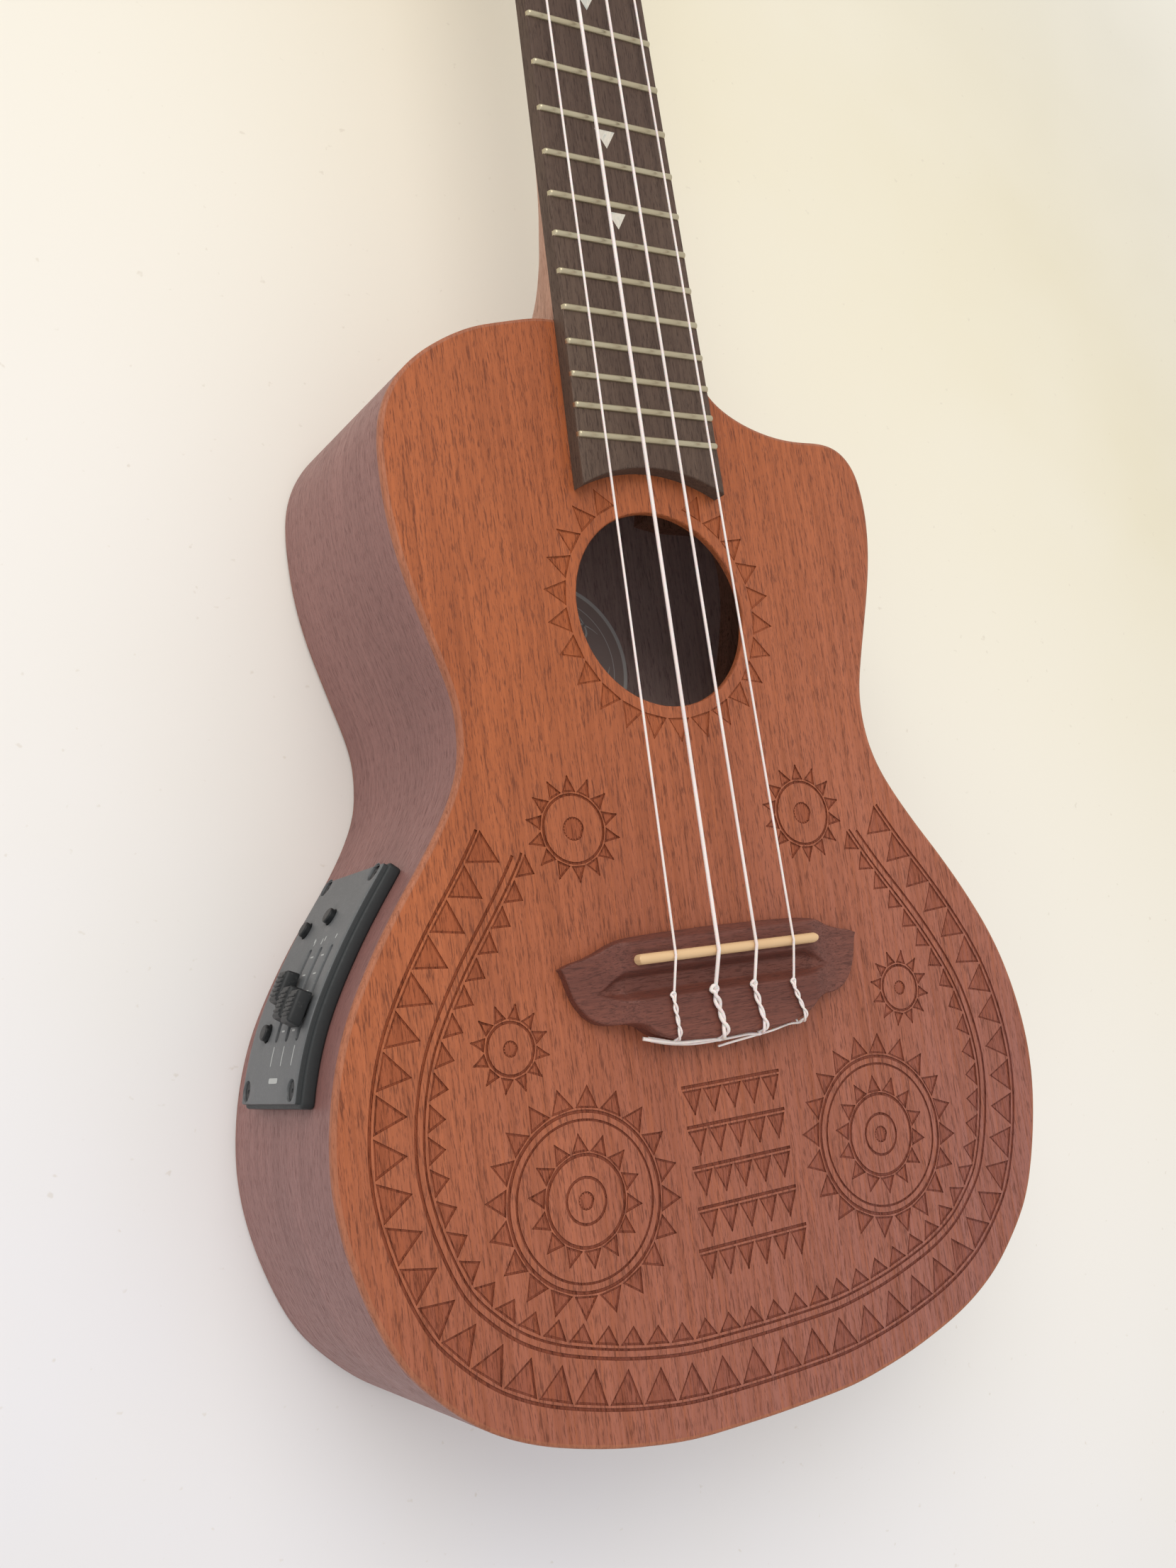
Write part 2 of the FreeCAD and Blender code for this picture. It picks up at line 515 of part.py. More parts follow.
strings = {}
for n, xs, xn, r in STRINGS:
    s = -1 if xs < 0 else 1
    end = head_point(s * (POST_X - POST_R - r - 0.35), POST_U[n], 5.2)
    pts = [(xs, -22.6, TIE_HOLE_Z), (xs, -9.2, TIE_HOLE_Z), (xs, SADDLE_Y, SADDLE_Z + r + 0.3),
           (xn, SCALE + 1.8, NUT_BOTTOM_Z + r + 0.06), end]
    t = tube(pts, r, [3.0, 2.2, 6.0])
    strings[n] = t
    nut = nut.cut(tube([pts[2], pts[3], pts[4]], r + 0.05, [6.0]))
    # the slot is open upwards
    nut = nut.cut(box(xn - r - 0.05, xn + r + 0.05, SCALE - 1, SCALE + 2.4, NUT_BOTTOM_Z + r, 80))
    nut = nut.cut(box(xn - r - 0.1, xn + r + 0.1, SCALE + 2.3, SCALE + 6, NUT_BOTTOM_Z + r - 0.3, 80))
    export(t, "string_" + n)
export(nut, "nut")

# ---------------------------------------------------------------- tuners
WC = -HEAD_T - 0.05
housings, covers, bushings, tscrews = [], [], [], []
for n, s, u in posts:
    xi, xo = s * (POST_X - 8.0), s * (POST_X + 8.6)
    x0, x1 = min(xi, xo), max(xi, xo)
    h = box(x0, x1, u - 7.4, u + 11.6, WC - 7.6, WC)
    h = h.makeFillet(2.0, [e for e in h.Edges if abs(e.Vertexes[0].Z - e.Vertexes[1].Z) > 5])
    cav = box(x0 + 1.3, x1 - 1.3, u - 6.1, u + 10.3, WC - 7.7, WC - 1.3)
    h = h.cut(cav)
    h = h.cut(cyl(POST_R + 0.06, 20, (s * POST_X, u, -30), (0, 0, 1)))
    h = h.cut(Part.makeCylinder(1.56, 30, V(s * (POST_X - 6.9), u + WORM_U, TUNER_W), V(s, 0, 0)))
    # fixing ear with its screw
    ear = box(s * (POST_X - 3.0) - 3.0, s * (POST_X - 3.0) + 3.0, u - 13.4, u - 7.3, WC - 1.6, WC)
    ear = ear.makeFillet(2.2, [e for e in ear.Edges if abs(e.Vertexes[0].Z - e.Vertexes[1].Z) > 1 and e.Vertexes[0].Y < u - 13])
    h = h.fuse(ear).removeSplitter()
    h = h.cut(cyl(0.95, 10, (s * (POST_X - 3.0), u - 10.6, WC - 5), (0, 0, 1)))
    housings.append(h)
    c = box(x0 + 0.1, x1 - 0.1, u - 7.3, u + 11.5, WC - 8.9, WC - 7.65)
    c = c.makeFillet(1.9, [e for e in c.Edges if abs(e.Vertexes[0].Z - e.Vertexes[1].Z) > 1])
    covers.append(c)
    sc = cyl(0.9, 5.8, (s * (POST_X - 3.0), u - 10.6, WC - 1.65), (0, 0, 1))
    hd = cyl(1.9, 1.1, (s * (POST_X - 3.0), u - 10.6, WC - 2.75), (0, 0, 1))
    hd = hd.cut(box(s * (POST_X - 3.0) - 1.4, s * (POST_X - 3.0) + 1.4, u - 10.85, u - 10.35, WC - 3, WC - 2.3))
    tscrews.append(sc.fuse(hd).removeSplitter())
    wash = cyl(6.4, 0.8, (s * POST_X, u, VENEER_T + 0.06), (0, 0, 1))
    hexa = Part.Face(Part.makePolygon([V(s * POST_X + 5.6 * math.cos(math.radians(60 * i + 30)),
                                         u + 5.6 * math.sin(math.radians(60 * i + 30)), VENEER_T + 0.86) for i in range(7)])).extrude(V(0, 0, 2.0))
    b = cyl(4.4, 11.0, (s * POST_X, u, -9.0), (0, 0, 1)).fuse(wash).fuse(hexa).removeSplitter()
    b = b.cut(cyl(POST_R + 0.06, 40, (s * POST_X, u, -30), (0, 0, 1)))
    bushings.append(b)
    # post and worm wheel
    p = cyl(POST_R, 11.2 - (TUNER_W + 1.6), (s * POST_X, u, TUNER_W + 1.6), (0, 0, 1))
    waist = cyl(POST_R + 1, 4.2, (s * POST_X, u, 3.4), (0, 0, 1)).cut(cyl(POST_R - 0.45, 4.2, (s * POST_X, u, 3.4), (0, 0, 1)))
    p = p.cut(waist)
    p = p.cut(Part.makeCylinder(0.75, 12, V(s * POST_X, u - 6, 5.4), V(0, 1, 0)))
    pts = []
    for i in range(GEAR_TEETH):
        a0 = 2 * math.pi * i / GEAR_TEETH
        for da, rr in ((-0.14, 4.15), (-0.07, 4.85), (0.07, 4.85), (0.14, 4.15)):
            pts.append((s * POST_X + rr * math.cos(a0 + da), u + rr * math.sin(a0 + da), TUNER_W - 1.6))
    wheel = poly_face(pts).extrude(V(0, 0, 3.2))
    wheel = wheel.cut(cyl(1.3, 10, (s * POST_X, u, TUNER_W - 4), (0, 0, 1)))
    wscrew = cyl(1.3, 3.2, (s * POST_X, u, TUNER_W - 1.6), (0, 0, 1)).fuse(cyl(2.2, 0.8, (s * POST_X, u, TUNER_W - 2.4), (0, 0, 1))).removeSplitter()
    export(to_head(Part.makeCompound([p, wheel, wscrew])), "post_" + n)
    # worm shaft: thread, shaft, tip screw
    base = V(s * (POST_X - 6.2), u + WORM_U, TUNER_W)
    ax = V(s, 0, 0)
    wm = Part.makeCylinder(1.5, 40.6 - (POST_X - 6.2), base, ax)
    for i in range(6):
        wm = wm.fuse(Part.makeCylinder(2.0, 0.9, V(s * (POST_X - 4.6 + 1.7 * i), u + WORM_U, TUNER_W), ax))
    wm = wm.fuse(Part.makeCylinder(2.6, 1.0, V(s * (POST_X + 9.0), u + WORM_U, TUNER_W), ax))
    tip = Part.makeCylinder(2.0, 0.9, V(s * 45.75, u + WORM_U, TUNER_W), ax).fuse(
        Part.makeCylinder(1.0, 5.1, V(s * 40.65, u + WORM_U, TUNER_W), ax))
    export(to_head(Part.makeCompound([wm.removeSplitter(), tip.removeSplitter()])), "worm_" + n)
    # knob: a flattened oval, wider at its outer end
    kx = [(32.6, 3.4, 3.0), (34.2, 4.6, 3.3), (37.5, 6.9, 3.6), (41.5, 7.9, 3.7), (44.6, 7.0, 3.3), (45.7, 5.2, 2.4)]
    wires = []
    for x, a, b2 in kx:
        e = Part.Ellipse(V(0, 0, 0), a, b2).toShape()
        w0 = Part.Wire(e)
        m = FreeCAD.Matrix(0, 0, s, s * x, 1, 0, 0, u + WORM_U, 0, s, 0, TUNER_W, 0, 0, 0, 1)
        w0.Placement = FreeCAD.Placement(m)
        wires.append(w0)
    kb = Part.makeLoft(wires, True, False)
    kb = kb.cut(Part.makeCylinder(1.5, 41 - 30, V(s * 29.6, u + WORM_U, TUNER_W), ax))
    kb = kb.cut(Part.makeCylinder(1.0, 8, V(s * 40, u + WORM_U, TUNER_W), ax))
    export(to_head(kb), "knob_" + n)
export(to_head(Part.makeCompound(housings)), "tuner_housings")
export(to_head(Part.makeCompound(covers)), "tuner_covers")
export(to_head(Part.makeCompound(bushings)), "tuner_bushings")
export(to_head(Part.makeCompound(tscrews)), "tuner_screws")

# ---------------------------------------------------------------- preamp
seg = [p for p, d in zip(bass, bass_len) if PRE_T0 <= d <= PRE_T1]
face_in = offset(seg, 0.08)
face_out = offset(seg, PRE_PROUD)
plate_ = strip(face_out, face_in, PRE_Z0, PRE_Z1)
try:
    edges = [e for e in plate_.Edges if abs(e.Vertexes[0].Z - e.Vertexes[-1].Z) > 30]
    outer = []
    for e in edges:
        v = e.Vertexes[0].Point
        d = min(math.hypot(v.x - a, v.y - b) for a, b in (face_out[0], face_out[-1]))
        if d < 0.1:
            outer.append(e)
    plate_ = plate_.makeFillet(1.4, outer)
except Exception as ex:
    print("faceplate corners stay square:", ex)
W_OUT = w_slot + PRE_PROUD
slot_z_half = 0.95
for z in SLOT_Z:
    plate_ = plate_.cut(pre_solid(pre_u(SLOT_T0), pre_u(SLOT_T1), z - slot_z_half, z + slot_z_half, -12, 20))
for p, N, z in screw_shanks:
    q = V(p.x, p.y, z)
    plate_ = plate_.cut(Part.makeCylinder(1.3, 14, q - N * 4, N))
    plate_ = plate_.cut(Part.makeCylinder(2.4, 8, q + N * (PRE_PROUD - 1.6), N))
BTN_R = 2.0
for n, t, z in BTN:
    p, T, N = bass_at(t)
    plate_ = plate_.cut(Part.makeCylinder(BTN_R + 0.2, 14, V(p.x, p.y, z) - N * 4, N))
export(plate_, "preamp_faceplate")
psc = []
for p, N, z in screw_shanks:
    q = V(p.x, p.y, z)
    k = Part.makeCylinder(1.1, PRE_PROUD - 1.6 + 2.4, q - N * 2.4, N)
    hd = Part.makeCylinder(2.15, 1.1, q + N * (PRE_PROUD - 1.6), N)
    up = V(0, 0, 1)
    cr = Part.makeCylinder(0.45, 1.0, q + N * (PRE_PROUD - 0.9), N)
    psc.append(k.fuse(hd).cut(cr).removeSplitter())
export(Part.makeCompound(psc), "preamp_screws")

HW0 = min(surface_w(PRE_T0 + 5 + i) for i in range(50)) - 0.2
hu0, hu1, hz0, hz1 = cut_u0 + 0.4, cut_u1 - 0.4, cut_z0 + 0.4, cut_z1 - 0.4
hous = pre_solid(hu0, hu1, hz0, hz1, -20.0, HW0)
hous = hous.cut(pre_solid(hu0 + 1.4, hu1 - 1.4, hz0 + 1.4, hz1 - 1.4, -18.6, HW0 + 5))
export(hous, "preamp_housing")
board = pre_solid(hu0 + 2.0, hu1 - 2.0, hz0 + 2.0, hz1 - 2.0, -13.6, -12.0)
parts_on = [board]
for (a, b, c, d, e) in ((-15, -6, 28, 36, 3.0), (2, 10, 30, 44, 2.2), (12, 18, 34, 40, 2.5)):
    parts_on.append(pre_solid(a, b, c, d, -13.6 - e, -13.62))
export(Part.makeCompound(parts_on), "preamp_circuit_board")
cap_names = ["slider_volume", "slider_bass", "slider_treble"]
for name, z, t in zip(cap_names, SLOT_Z, SLIDER_T):
    u = pre_u(t)
    cap = pre_solid(u - 4.2, u + 4.2, z - 2.85, z + 2.85, W_OUT + 0.5, W_OUT + 4.3)
    for k in (-2.4, -0.8, 0.8, 2.4):
        cap = cap.cut(pre_solid(u + k - 0.25, u + k + 0.25, z - 3.2, z + 3.2, W_OUT + 3.8, W_OUT + 4.8))
    stem = pre_solid(u - 1.4, u + 1.4, z - 0.6, z + 0.6, -9.5, W_OUT + 0.6)
    export(cap.fuse(stem).removeSplitter(), name)
    print("   slider", name, "u", round(u, 2), "slot", round(pre_u(SLOT_T0), 2), round(pre_u(SLOT_T1), 2))
for n, t, z in BTN:
    p, T, N = bass_at(t)
    q = V(p.x, p.y, z)
    b = Part.makeCylinder(BTN_R, 3.4, q + N * (PRE_PROUD - 2.0), N)
    try:
        b = b.makeFillet(0.4, [e for e in b.Edges if abs((e.CenterOfMass - q).dot(N) - (PRE_PROUD + 1.4)) < 0.01])
    except Exception as ex:
        print("button edge", ex)
    st = Part.makeCylinder(1.1, 7.0, q + N * (PRE_PROUD - 8.9), N)
    export(b.fuse(st).removeSplitter(), "button_" + n)
    print("   button", n, [round(c, 5) for c in (q.x, q.y, q.z)], "normal", [round(c, 6) for c in (N.x, N.y, N.z)])

# ---------------------------------------------------------------- jack, battery, leads
jack = cyl(6.0, 24.6, (0, -122.2, JACK_Z), (0, 1, 0)).fuse(cyl(7.4, 17.0, (0, -97.6, JACK_Z), (0, 1, 0)))
jack = jack.cut(cyl(JACK_BORE_R, 30.6, (0, -122.2, JACK_Z), (0, 1, 0))).removeSplitter()
export(jack, "output_jack")
nutj = cyl(7.0, 5.6, (0, -122.4, JACK_Z), (0, 1, 0)).fuse(cyl(8.3, 1.8, (0, -122.8, JACK_Z), (0, 1, 0)))
wsh = cyl(8.6, 1.1, (0, -116.75, JACK_Z), (0, 1, 0))
nutj = nutj.fuse(cyl(7.8, 0.8, (0, -117.6, JACK_Z), (0, 1, 0))).removeSplitter()
nutj = nutj.cut(cyl(6.0, 30, (0, -130, JACK_Z), (0, 1, 0)))
wsh = wsh.cut(cyl(6.0, 30, (0, -130, JACK_Z), (0, 1, 0)))
export(Part.makeCompound([nutj, wsh]), "strap_button_nut")
bx, by = 36.0, -64.0
bat = box(bx - 22, bx + 22, by - 13.25, by + 13.25, 3.6, 21.1)
bat = bat.makeFillet(1.5, [e for e in bat.Edges if abs(e.Vertexes[0].X - e.Vertexes[1].X) > 40])
for dy in (-6.4, 6.4):
    bat = bat.fuse(Part.makeCylinder(2.8, 2.4, V(bx - 22, by + dy, 12.3), V(-1, 0, 0)))
export(bat.removeSplitter(), "battery")
clip = box(bx - 10, bx + 10, by - 14.7, by + 14.7, PLATE_T, 22.4).cut(box(bx - 11, bx + 11, by - 13.4, by + 13.4, 3.5, 21.25))
clip = clip.cut(box(bx - 11, bx + 11, by - 6, by + 6, 20, 24))
export(clip, "battery_clip")


def pre_pt(u, z, w):
    p = pc + sT * u + sN * w
    return (p.x, p.y, z)


cap9 = box(bx - 28.0, bx - 24.6, by - 10.5, by + 10.5, 6.3, 18.3)
lead = tube([(bx - 28.05, by, 14), (bx - 40, by, 14), pre_pt(4, 15, -70), pre_pt(4, 28, -42), pre_pt(4, 28, -20.05)], 1.1, [9, 12, 9])
export(Part.makeCompound([cap9, lead]), "battery_lead")
export(tube([(0, -80.55, JACK_Z), (0, -70, JACK_Z), pre_pt(-12, JACK_Z, -55), pre_pt(-12, JACK_Z, -20.05)], 1.4, [8, 14]), "jack_lead")
export(tube([(-26.2, SADDLE_Y, 70.5), (-26.2, SADDLE_Y, 52), pre_pt(10, 46, -42), pre_pt(10, 46, -20.05)], 0.9, [8, 10]), "pickup_lead")
print("done")
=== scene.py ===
import json
import math

import bpy
import bmesh
import numpy as np
from mathutils import Matrix, Vector
from mathutils.geometry import delaunay_2d_cdt

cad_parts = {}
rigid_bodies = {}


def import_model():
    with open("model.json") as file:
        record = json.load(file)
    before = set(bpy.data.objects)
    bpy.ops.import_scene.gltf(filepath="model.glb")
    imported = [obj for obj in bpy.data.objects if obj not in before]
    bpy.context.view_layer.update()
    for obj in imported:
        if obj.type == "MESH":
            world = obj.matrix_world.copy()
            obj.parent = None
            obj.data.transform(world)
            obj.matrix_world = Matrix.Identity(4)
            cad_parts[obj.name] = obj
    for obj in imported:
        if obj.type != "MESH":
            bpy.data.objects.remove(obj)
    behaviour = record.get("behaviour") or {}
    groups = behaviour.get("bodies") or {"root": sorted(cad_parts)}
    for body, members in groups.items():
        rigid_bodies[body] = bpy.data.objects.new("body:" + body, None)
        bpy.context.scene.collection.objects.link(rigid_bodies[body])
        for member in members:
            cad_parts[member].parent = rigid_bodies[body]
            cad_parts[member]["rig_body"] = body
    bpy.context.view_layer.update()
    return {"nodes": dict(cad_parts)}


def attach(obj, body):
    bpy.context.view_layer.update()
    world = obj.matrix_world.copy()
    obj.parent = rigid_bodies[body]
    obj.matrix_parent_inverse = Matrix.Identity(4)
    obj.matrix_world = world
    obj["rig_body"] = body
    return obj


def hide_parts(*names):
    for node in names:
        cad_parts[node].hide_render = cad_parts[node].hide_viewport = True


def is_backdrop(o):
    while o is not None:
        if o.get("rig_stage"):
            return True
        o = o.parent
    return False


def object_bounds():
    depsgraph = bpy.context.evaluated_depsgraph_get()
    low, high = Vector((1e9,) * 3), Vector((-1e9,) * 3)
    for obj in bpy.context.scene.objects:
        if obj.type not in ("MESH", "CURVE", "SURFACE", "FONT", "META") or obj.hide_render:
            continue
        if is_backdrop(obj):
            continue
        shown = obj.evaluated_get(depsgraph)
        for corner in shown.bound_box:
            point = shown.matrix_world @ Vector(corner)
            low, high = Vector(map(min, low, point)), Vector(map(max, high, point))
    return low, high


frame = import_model()
NODES = frame["nodes"]
MM = 0.001
TOP = 68.0
scene = bpy.context.scene
scene.view_settings.view_transform = "Standard"
scene.view_settings.look = "None"

# ------------------------------------------------------------------ camera
cam = bpy.data.cameras.new("camera")
cam_obj = bpy.data.objects.new("camera", cam)
scene.collection.objects.link(cam_obj)
ROT = Matrix(((0.8482, -0.1332, 0.5126), (-0.0436, -0.9821, -0.1831), (0.5278, 0.1330, -0.8389)))
m = ROT.transposed() @ Matrix(((1, 0, 0), (0, -1, 0), (0, 0, -1)))
m = m.to_quaternion().to_matrix().to_4x4()
m.translation = Vector((-0.224637, -0.004917, 0.376456))
cam_obj.matrix_world = m
cam.sensor_width = 36.0
cam.lens = 33.836
cam.clip_start, cam.clip_end = 0.01, 50
scene.camera = cam_obj


# ------------------------------------------------------------------ materials
class Nodes:
    """A short way to wire shader nodes."""

    def __init__(self, name):
        self.mat = bpy.data.materials.new(name)
        self.mat.use_nodes = True
        self.t = self.mat.node_tree
        self.t.nodes.clear()
        self.out = self.t.nodes.new("ShaderNodeOutputMaterial")
        self.bsdf = self.t.nodes.new("ShaderNodeBsdfPrincipled")
        self.t.links.new(self.bsdf.outputs[0], self.out.inputs[0])

    def node(self, kind, **kw):
        n = self.t.nodes.new(kind)
        for k, v in kw.items():
            setattr(n, k, v)
        return n

    def link(self, a, b):
        self.t.links.new(a, b)

    def put(self, socket, v):
        if hasattr(v, "is_linked"):
            self.link(v, socket)
        else:
            socket.default_value = v

    def coords(self, scale=(1, 1, 1), rot=(0, 0, 0), loc=(0, 0, 0), uv=False):
        c = self.node("ShaderNodeTexCoord")
        p = self.node("ShaderNodeMapping")
        p.inputs["Scale"].default_value = scale
        p.inputs["Rotation"].default_value = rot
        p.inputs["Location"].default_value = loc
        self.link(c.outputs["UV" if uv else "Object"], p.inputs["Vector"])
        return p.outputs[0]

    def noise(self, vec, scale=1.0, detail=2.0, rough=0.5, distortion=0.0):
        n = self.node("ShaderNodeTexNoise")
        self.link(vec, n.inputs["Vector"])
        n.inputs["Scale"].default_value = scale
        n.inputs["Detail"].default_value = detail
        n.inputs["Roughness"].default_value = rough
        n.inputs["Distortion"].default_value = distortion
        return n.outputs["Fac"]

    def ramp(self, fac, stops, mode="LINEAR"):
        r = self.node("ShaderNodeValToRGB")
        self.link(fac, r.inputs[0])
        e = r.color_ramp.elements
        while len(e) < len(stops):
            e.new(0.5)
        r.color_ramp.interpolation = mode
        for el, (p, c) in zip(e, stops):
            el.position = p
            el.color = (*c, 1) if len(c) == 3 else c
        return r.outputs[0]

    def grey(self, fac, a, b, lo=0.0, hi=1.0):
        """Maps fac from a..b to lo..hi, clamped."""
        r = self.node("ShaderNodeMapRange")
        self.link(fac, r.inputs["Value"])
        r.inputs["From Min"].default_value = a
        r.inputs["From Max"].default_value = b
        r.inputs["To Min"].default_value = lo
        r.inputs["To Max"].default_value = hi
        return r.outputs[0]

    def math(self, op, a, b=0.0):
        n = self.node("ShaderNodeMath", operation=op)
        self.put(n.inputs[0], a)
        self.put(n.inputs[1], b)
        return n.outputs[0]

    def mix(self, fac, a, b, mode="MIX"):
        n = self.node("ShaderNodeMix", data_type="RGBA", blend_type=mode)
        self.put(n.inputs[0], fac)
        for i, v in ((6, a), (7, b)):
            if hasattr(v, "is_linked"):
                self.link(v, n.inputs[i])
            else:
                n.inputs[i].default_value = (*v, 1)
        return n.outputs[2]

    def bump(self, height, dist, strength=1.0):
        n = self.node("ShaderNodeBump")
        n.inputs["Distance"].default_value = dist
        n.inputs["Strength"].default_value = strength
        self.link(height, n.inputs["Height"])
        self.link(n.outputs[0], self.bsdf.inputs["Normal"])

    def finish(self, **kw):
        names = {"color": "Base Color", "rough": "Roughness", "metal": "Metallic", "spec": "Specular IOR Level",
                 "coat": "Coat Weight", "coat_rough": "Coat Roughness", "ior": "IOR", "trans": "Transmission Weight",
                 "sss": "Subsurface Weight", "sss_scale": "Subsurface Scale", "sheen": "Sheen Weight"}
        for k, v in kw.items():
            s = self.bsdf.inputs[names[k]]
            if hasattr(v, "is_linked"):
                self.link(v, s)
            elif isinstance(v, tuple):
                s.default_value = (*v, 1)
            else:
                s.default_value = v
        return self.mat


def lin(r, g, b):
    """sRGB 0-255 to linear."""
    def f(c):
        c /= 255
        return c / 12.92 if c <= 0.04045 else ((c + 0.055) / 1.055) ** 2.4
    return (f(r), f(g), f(b))


def scaled(c, k):
    return tuple(min(1.0, v * k) for v in c)


def k_mul(n, col, k):
    return n.mix(1.0, col, k, "MULTIPLY")


def wood(name, light, dark, pore, rot=(0, 0, 0), uv=False, rough=0.42, pores=1.0, streak=0.5, pore_w=1.0, bump=0.00008,
         coat=0.0, ribbon=0.35, painted_sheen=None, seed=0.0, spec=0.5, shade=None):
    """Open-grained wood. The grain runs along Y, or along the first UV axis."""
    n = Nodes(name)
    loc = (seed, seed * 0.7, seed * 1.3)
    if uv:
        rot = (0, 0, math.pi / 2)
    def vec(x, y, z):
        c = n.coords(rot=rot, loc=loc, uv=uv)
        p = n.node("ShaderNodeMapping")
        p.inputs["Scale"].default_value = (x, y, z)
        n.link(c, p.inputs["Vector"])
        return p.outputs[0]
    broad = n.noise(vec(26, 3.2, 26), detail=3, rough=0.55, distortion=0.4)
    cloud = n.noise(vec(9, 7, 9), detail=2)
    fibre = n.noise(vec(760, 16, 760), detail=4, rough=0.72)
    fine = n.noise(vec(1500, 40, 1500), detail=2, rough=0.6)
    dash = n.noise(vec(2300 / pore_w, 210 / pore_w, 2300 / pore_w), detail=2.5, rough=0.62, distortion=0.15)
    dash2 = n.noise(vec(3400 / pore_w, 330 / pore_w, 3400 / pore_w), detail=2, rough=0.6)
    col = n.mix(n.grey(broad, 0.36, 0.66, 0, ribbon + 0.25), light, dark)
    col = n.mix(n.grey(cloud, 0.38, 0.68, 0, ribbon * 0.7), col, scaled(dark, 0.92))
    # painted sheen: the colour fades along the line from p0 to p1 towards a paler, greyer tint, standing in for the
    # window's soft reflection on the satin finish
    if painted_sheen is not None:
        (p0, p1, tint, amount) = painted_sheen
        c = n.node("ShaderNodeTexCoord")
        sep = n.node("ShaderNodeSeparateXYZ")
        n.link(c.outputs["Object"], sep.inputs[0])
        d = (p1[0] - p0[0], p1[1] - p0[1])
        L2 = d[0] ** 2 + d[1] ** 2
        t = n.math("ADD", n.math("MULTIPLY", sep.outputs[0], d[0] / L2), n.math("MULTIPLY", sep.outputs[1], d[1] / L2))
        t = n.math("ADD", t, -(p0[0] * d[0] + p0[1] * d[1]) / L2)
        col = n.mix(n.grey(t, 0.0, 1.0, 0.0, amount), col, tint)
    col = n.mix(n.grey(fibre, 0.40, 0.68, 0, streak), col, scaled(dark, 0.72))
    col = n.mix(n.grey(fine, 0.5, 0.75, 0, streak * 0.5), col, scaled(light, 1.12))
    hole = n.math("MAXIMUM", n.grey(dash, 0.555, 0.65, 0, 1), n.grey(dash2, 0.58, 0.68, 0, 0.7))
    col = n.mix(n.math("MULTIPLY", hole, pores), col, pore)
    if shade is not None:
        # darker in the engraving, and much less so around the sound hole
        (k_far, k_near) = shade
        c = n.node("ShaderNodeTexCoord")
        sep = n.node("ShaderNodeSeparateXYZ")
        n.link(c.outputs["Object"], sep.inputs[0])
        dy = n.math("SUBTRACT", sep.outputs[1], 0.0899)
        rr = n.math("SQRT", n.math("ADD", n.math("MULTIPLY", sep.outputs[0], sep.outputs[0]), n.math("MULTIPLY", dy, dy)))
        col = n.mix(n.grey(rr, 0.040, 0.050), k_mul(n, col, k_near), k_mul(n, col, k_far))
    r = n.math("ADD", n.grey(fibre, 0.3, 0.7, rough - 0.05, rough + 0.06), n.math("MULTIPLY", hole, 0.18))
    h = n.math("SUBTRACT", n.math("MULTIPLY", fibre, 0.25), n.math("MULTIPLY", hole, 1.0))
    n.bump(h, bump, 0.7)
    return n.finish(color=col, rough=r, spec=spec, coat=coat, coat_rough=0.35)


def metal(name, colour, rough, scratch=0.06, seed=0.0, brush=None, stain=None):
    n = Nodes(name)
    v = n.coords(scale=brush or (900, 900, 900), loc=(seed, seed, seed))
    a = n.noise(v, detail=3)
    b = n.noise(n.coords(scale=(60, 60, 60)), detail=3)
    col = n.mix(n.grey(b, 0.35, 0.7, 0, 0.35), colour, stain or scaled(colour, 0.8))
    r = n.math("ADD", n.grey(a, 0.3, 0.7, rough - scratch, rough + scratch), n.grey(b, 0.4, 0.7, 0, 0.05))
    n.bump(a, 0.00001, 0.5)
    return n.finish(color=col, rough=r, metal=1.0)


def plastic(name, colour, rough, grain=420, bump=0.00003, mottled=0.25, spec=0.5, coat=0.0, dust=0.0, tint=None):
    n = Nodes(name)
    a = n.noise(n.coords(scale=(grain,) * 3), detail=4, rough=0.6)
    b = n.noise(n.coords(scale=(38, 38, 38)), detail=4, rough=0.55)
    col = n.mix(n.grey(b, 0.35, 0.7, 0, mottled), colour, tint or scaled(colour, 0.7))
    if dust:
        col = n.mix(n.grey(a, 0.56, 0.74, 0, dust), col, (0.55, 0.53, 0.5))
    r = n.math("ADD", n.grey(a, 0.3, 0.7, rough - 0.06, rough + 0.06), n.grey(b, 0.4, 0.7, 0, 0.06))
    n.bump(a, bump, 0.6)
    return n.finish(color=col, rough=r, spec=spec, coat=coat, coat_rough=0.2)


TOP_LIGHT, TOP_DARK, TOP_PORE = lin(174, 97, 56), lin(142, 73, 40), lin(84, 40, 26)
# painted reflection: the soundboard turns paler and greyer towards its lower right, where the window's sheen lies on
# the satin top
TOP_PAINTED_SHEEN = ((-0.05, 0.06), (0.08, -0.09), lin(142, 94, 88), 0.85)
M = {}
M["top"] = wood("mahogany_top", TOP_LIGHT, TOP_DARK, TOP_PORE, pores=0.64, streak=0.62, painted_sheen=TOP_PAINTED_SHEEN, rough=0.46, spec=0.28)
M["etched"] = wood("etched_floor", TOP_LIGHT, TOP_DARK, TOP_PORE, pores=0.64, streak=0.62, rough=0.6, painted_sheen=TOP_PAINTED_SHEEN, bump=0.00010,
                   spec=0.2, shade=((0.84, 0.78, 0.78), (0.93, 0.90, 0.90)))
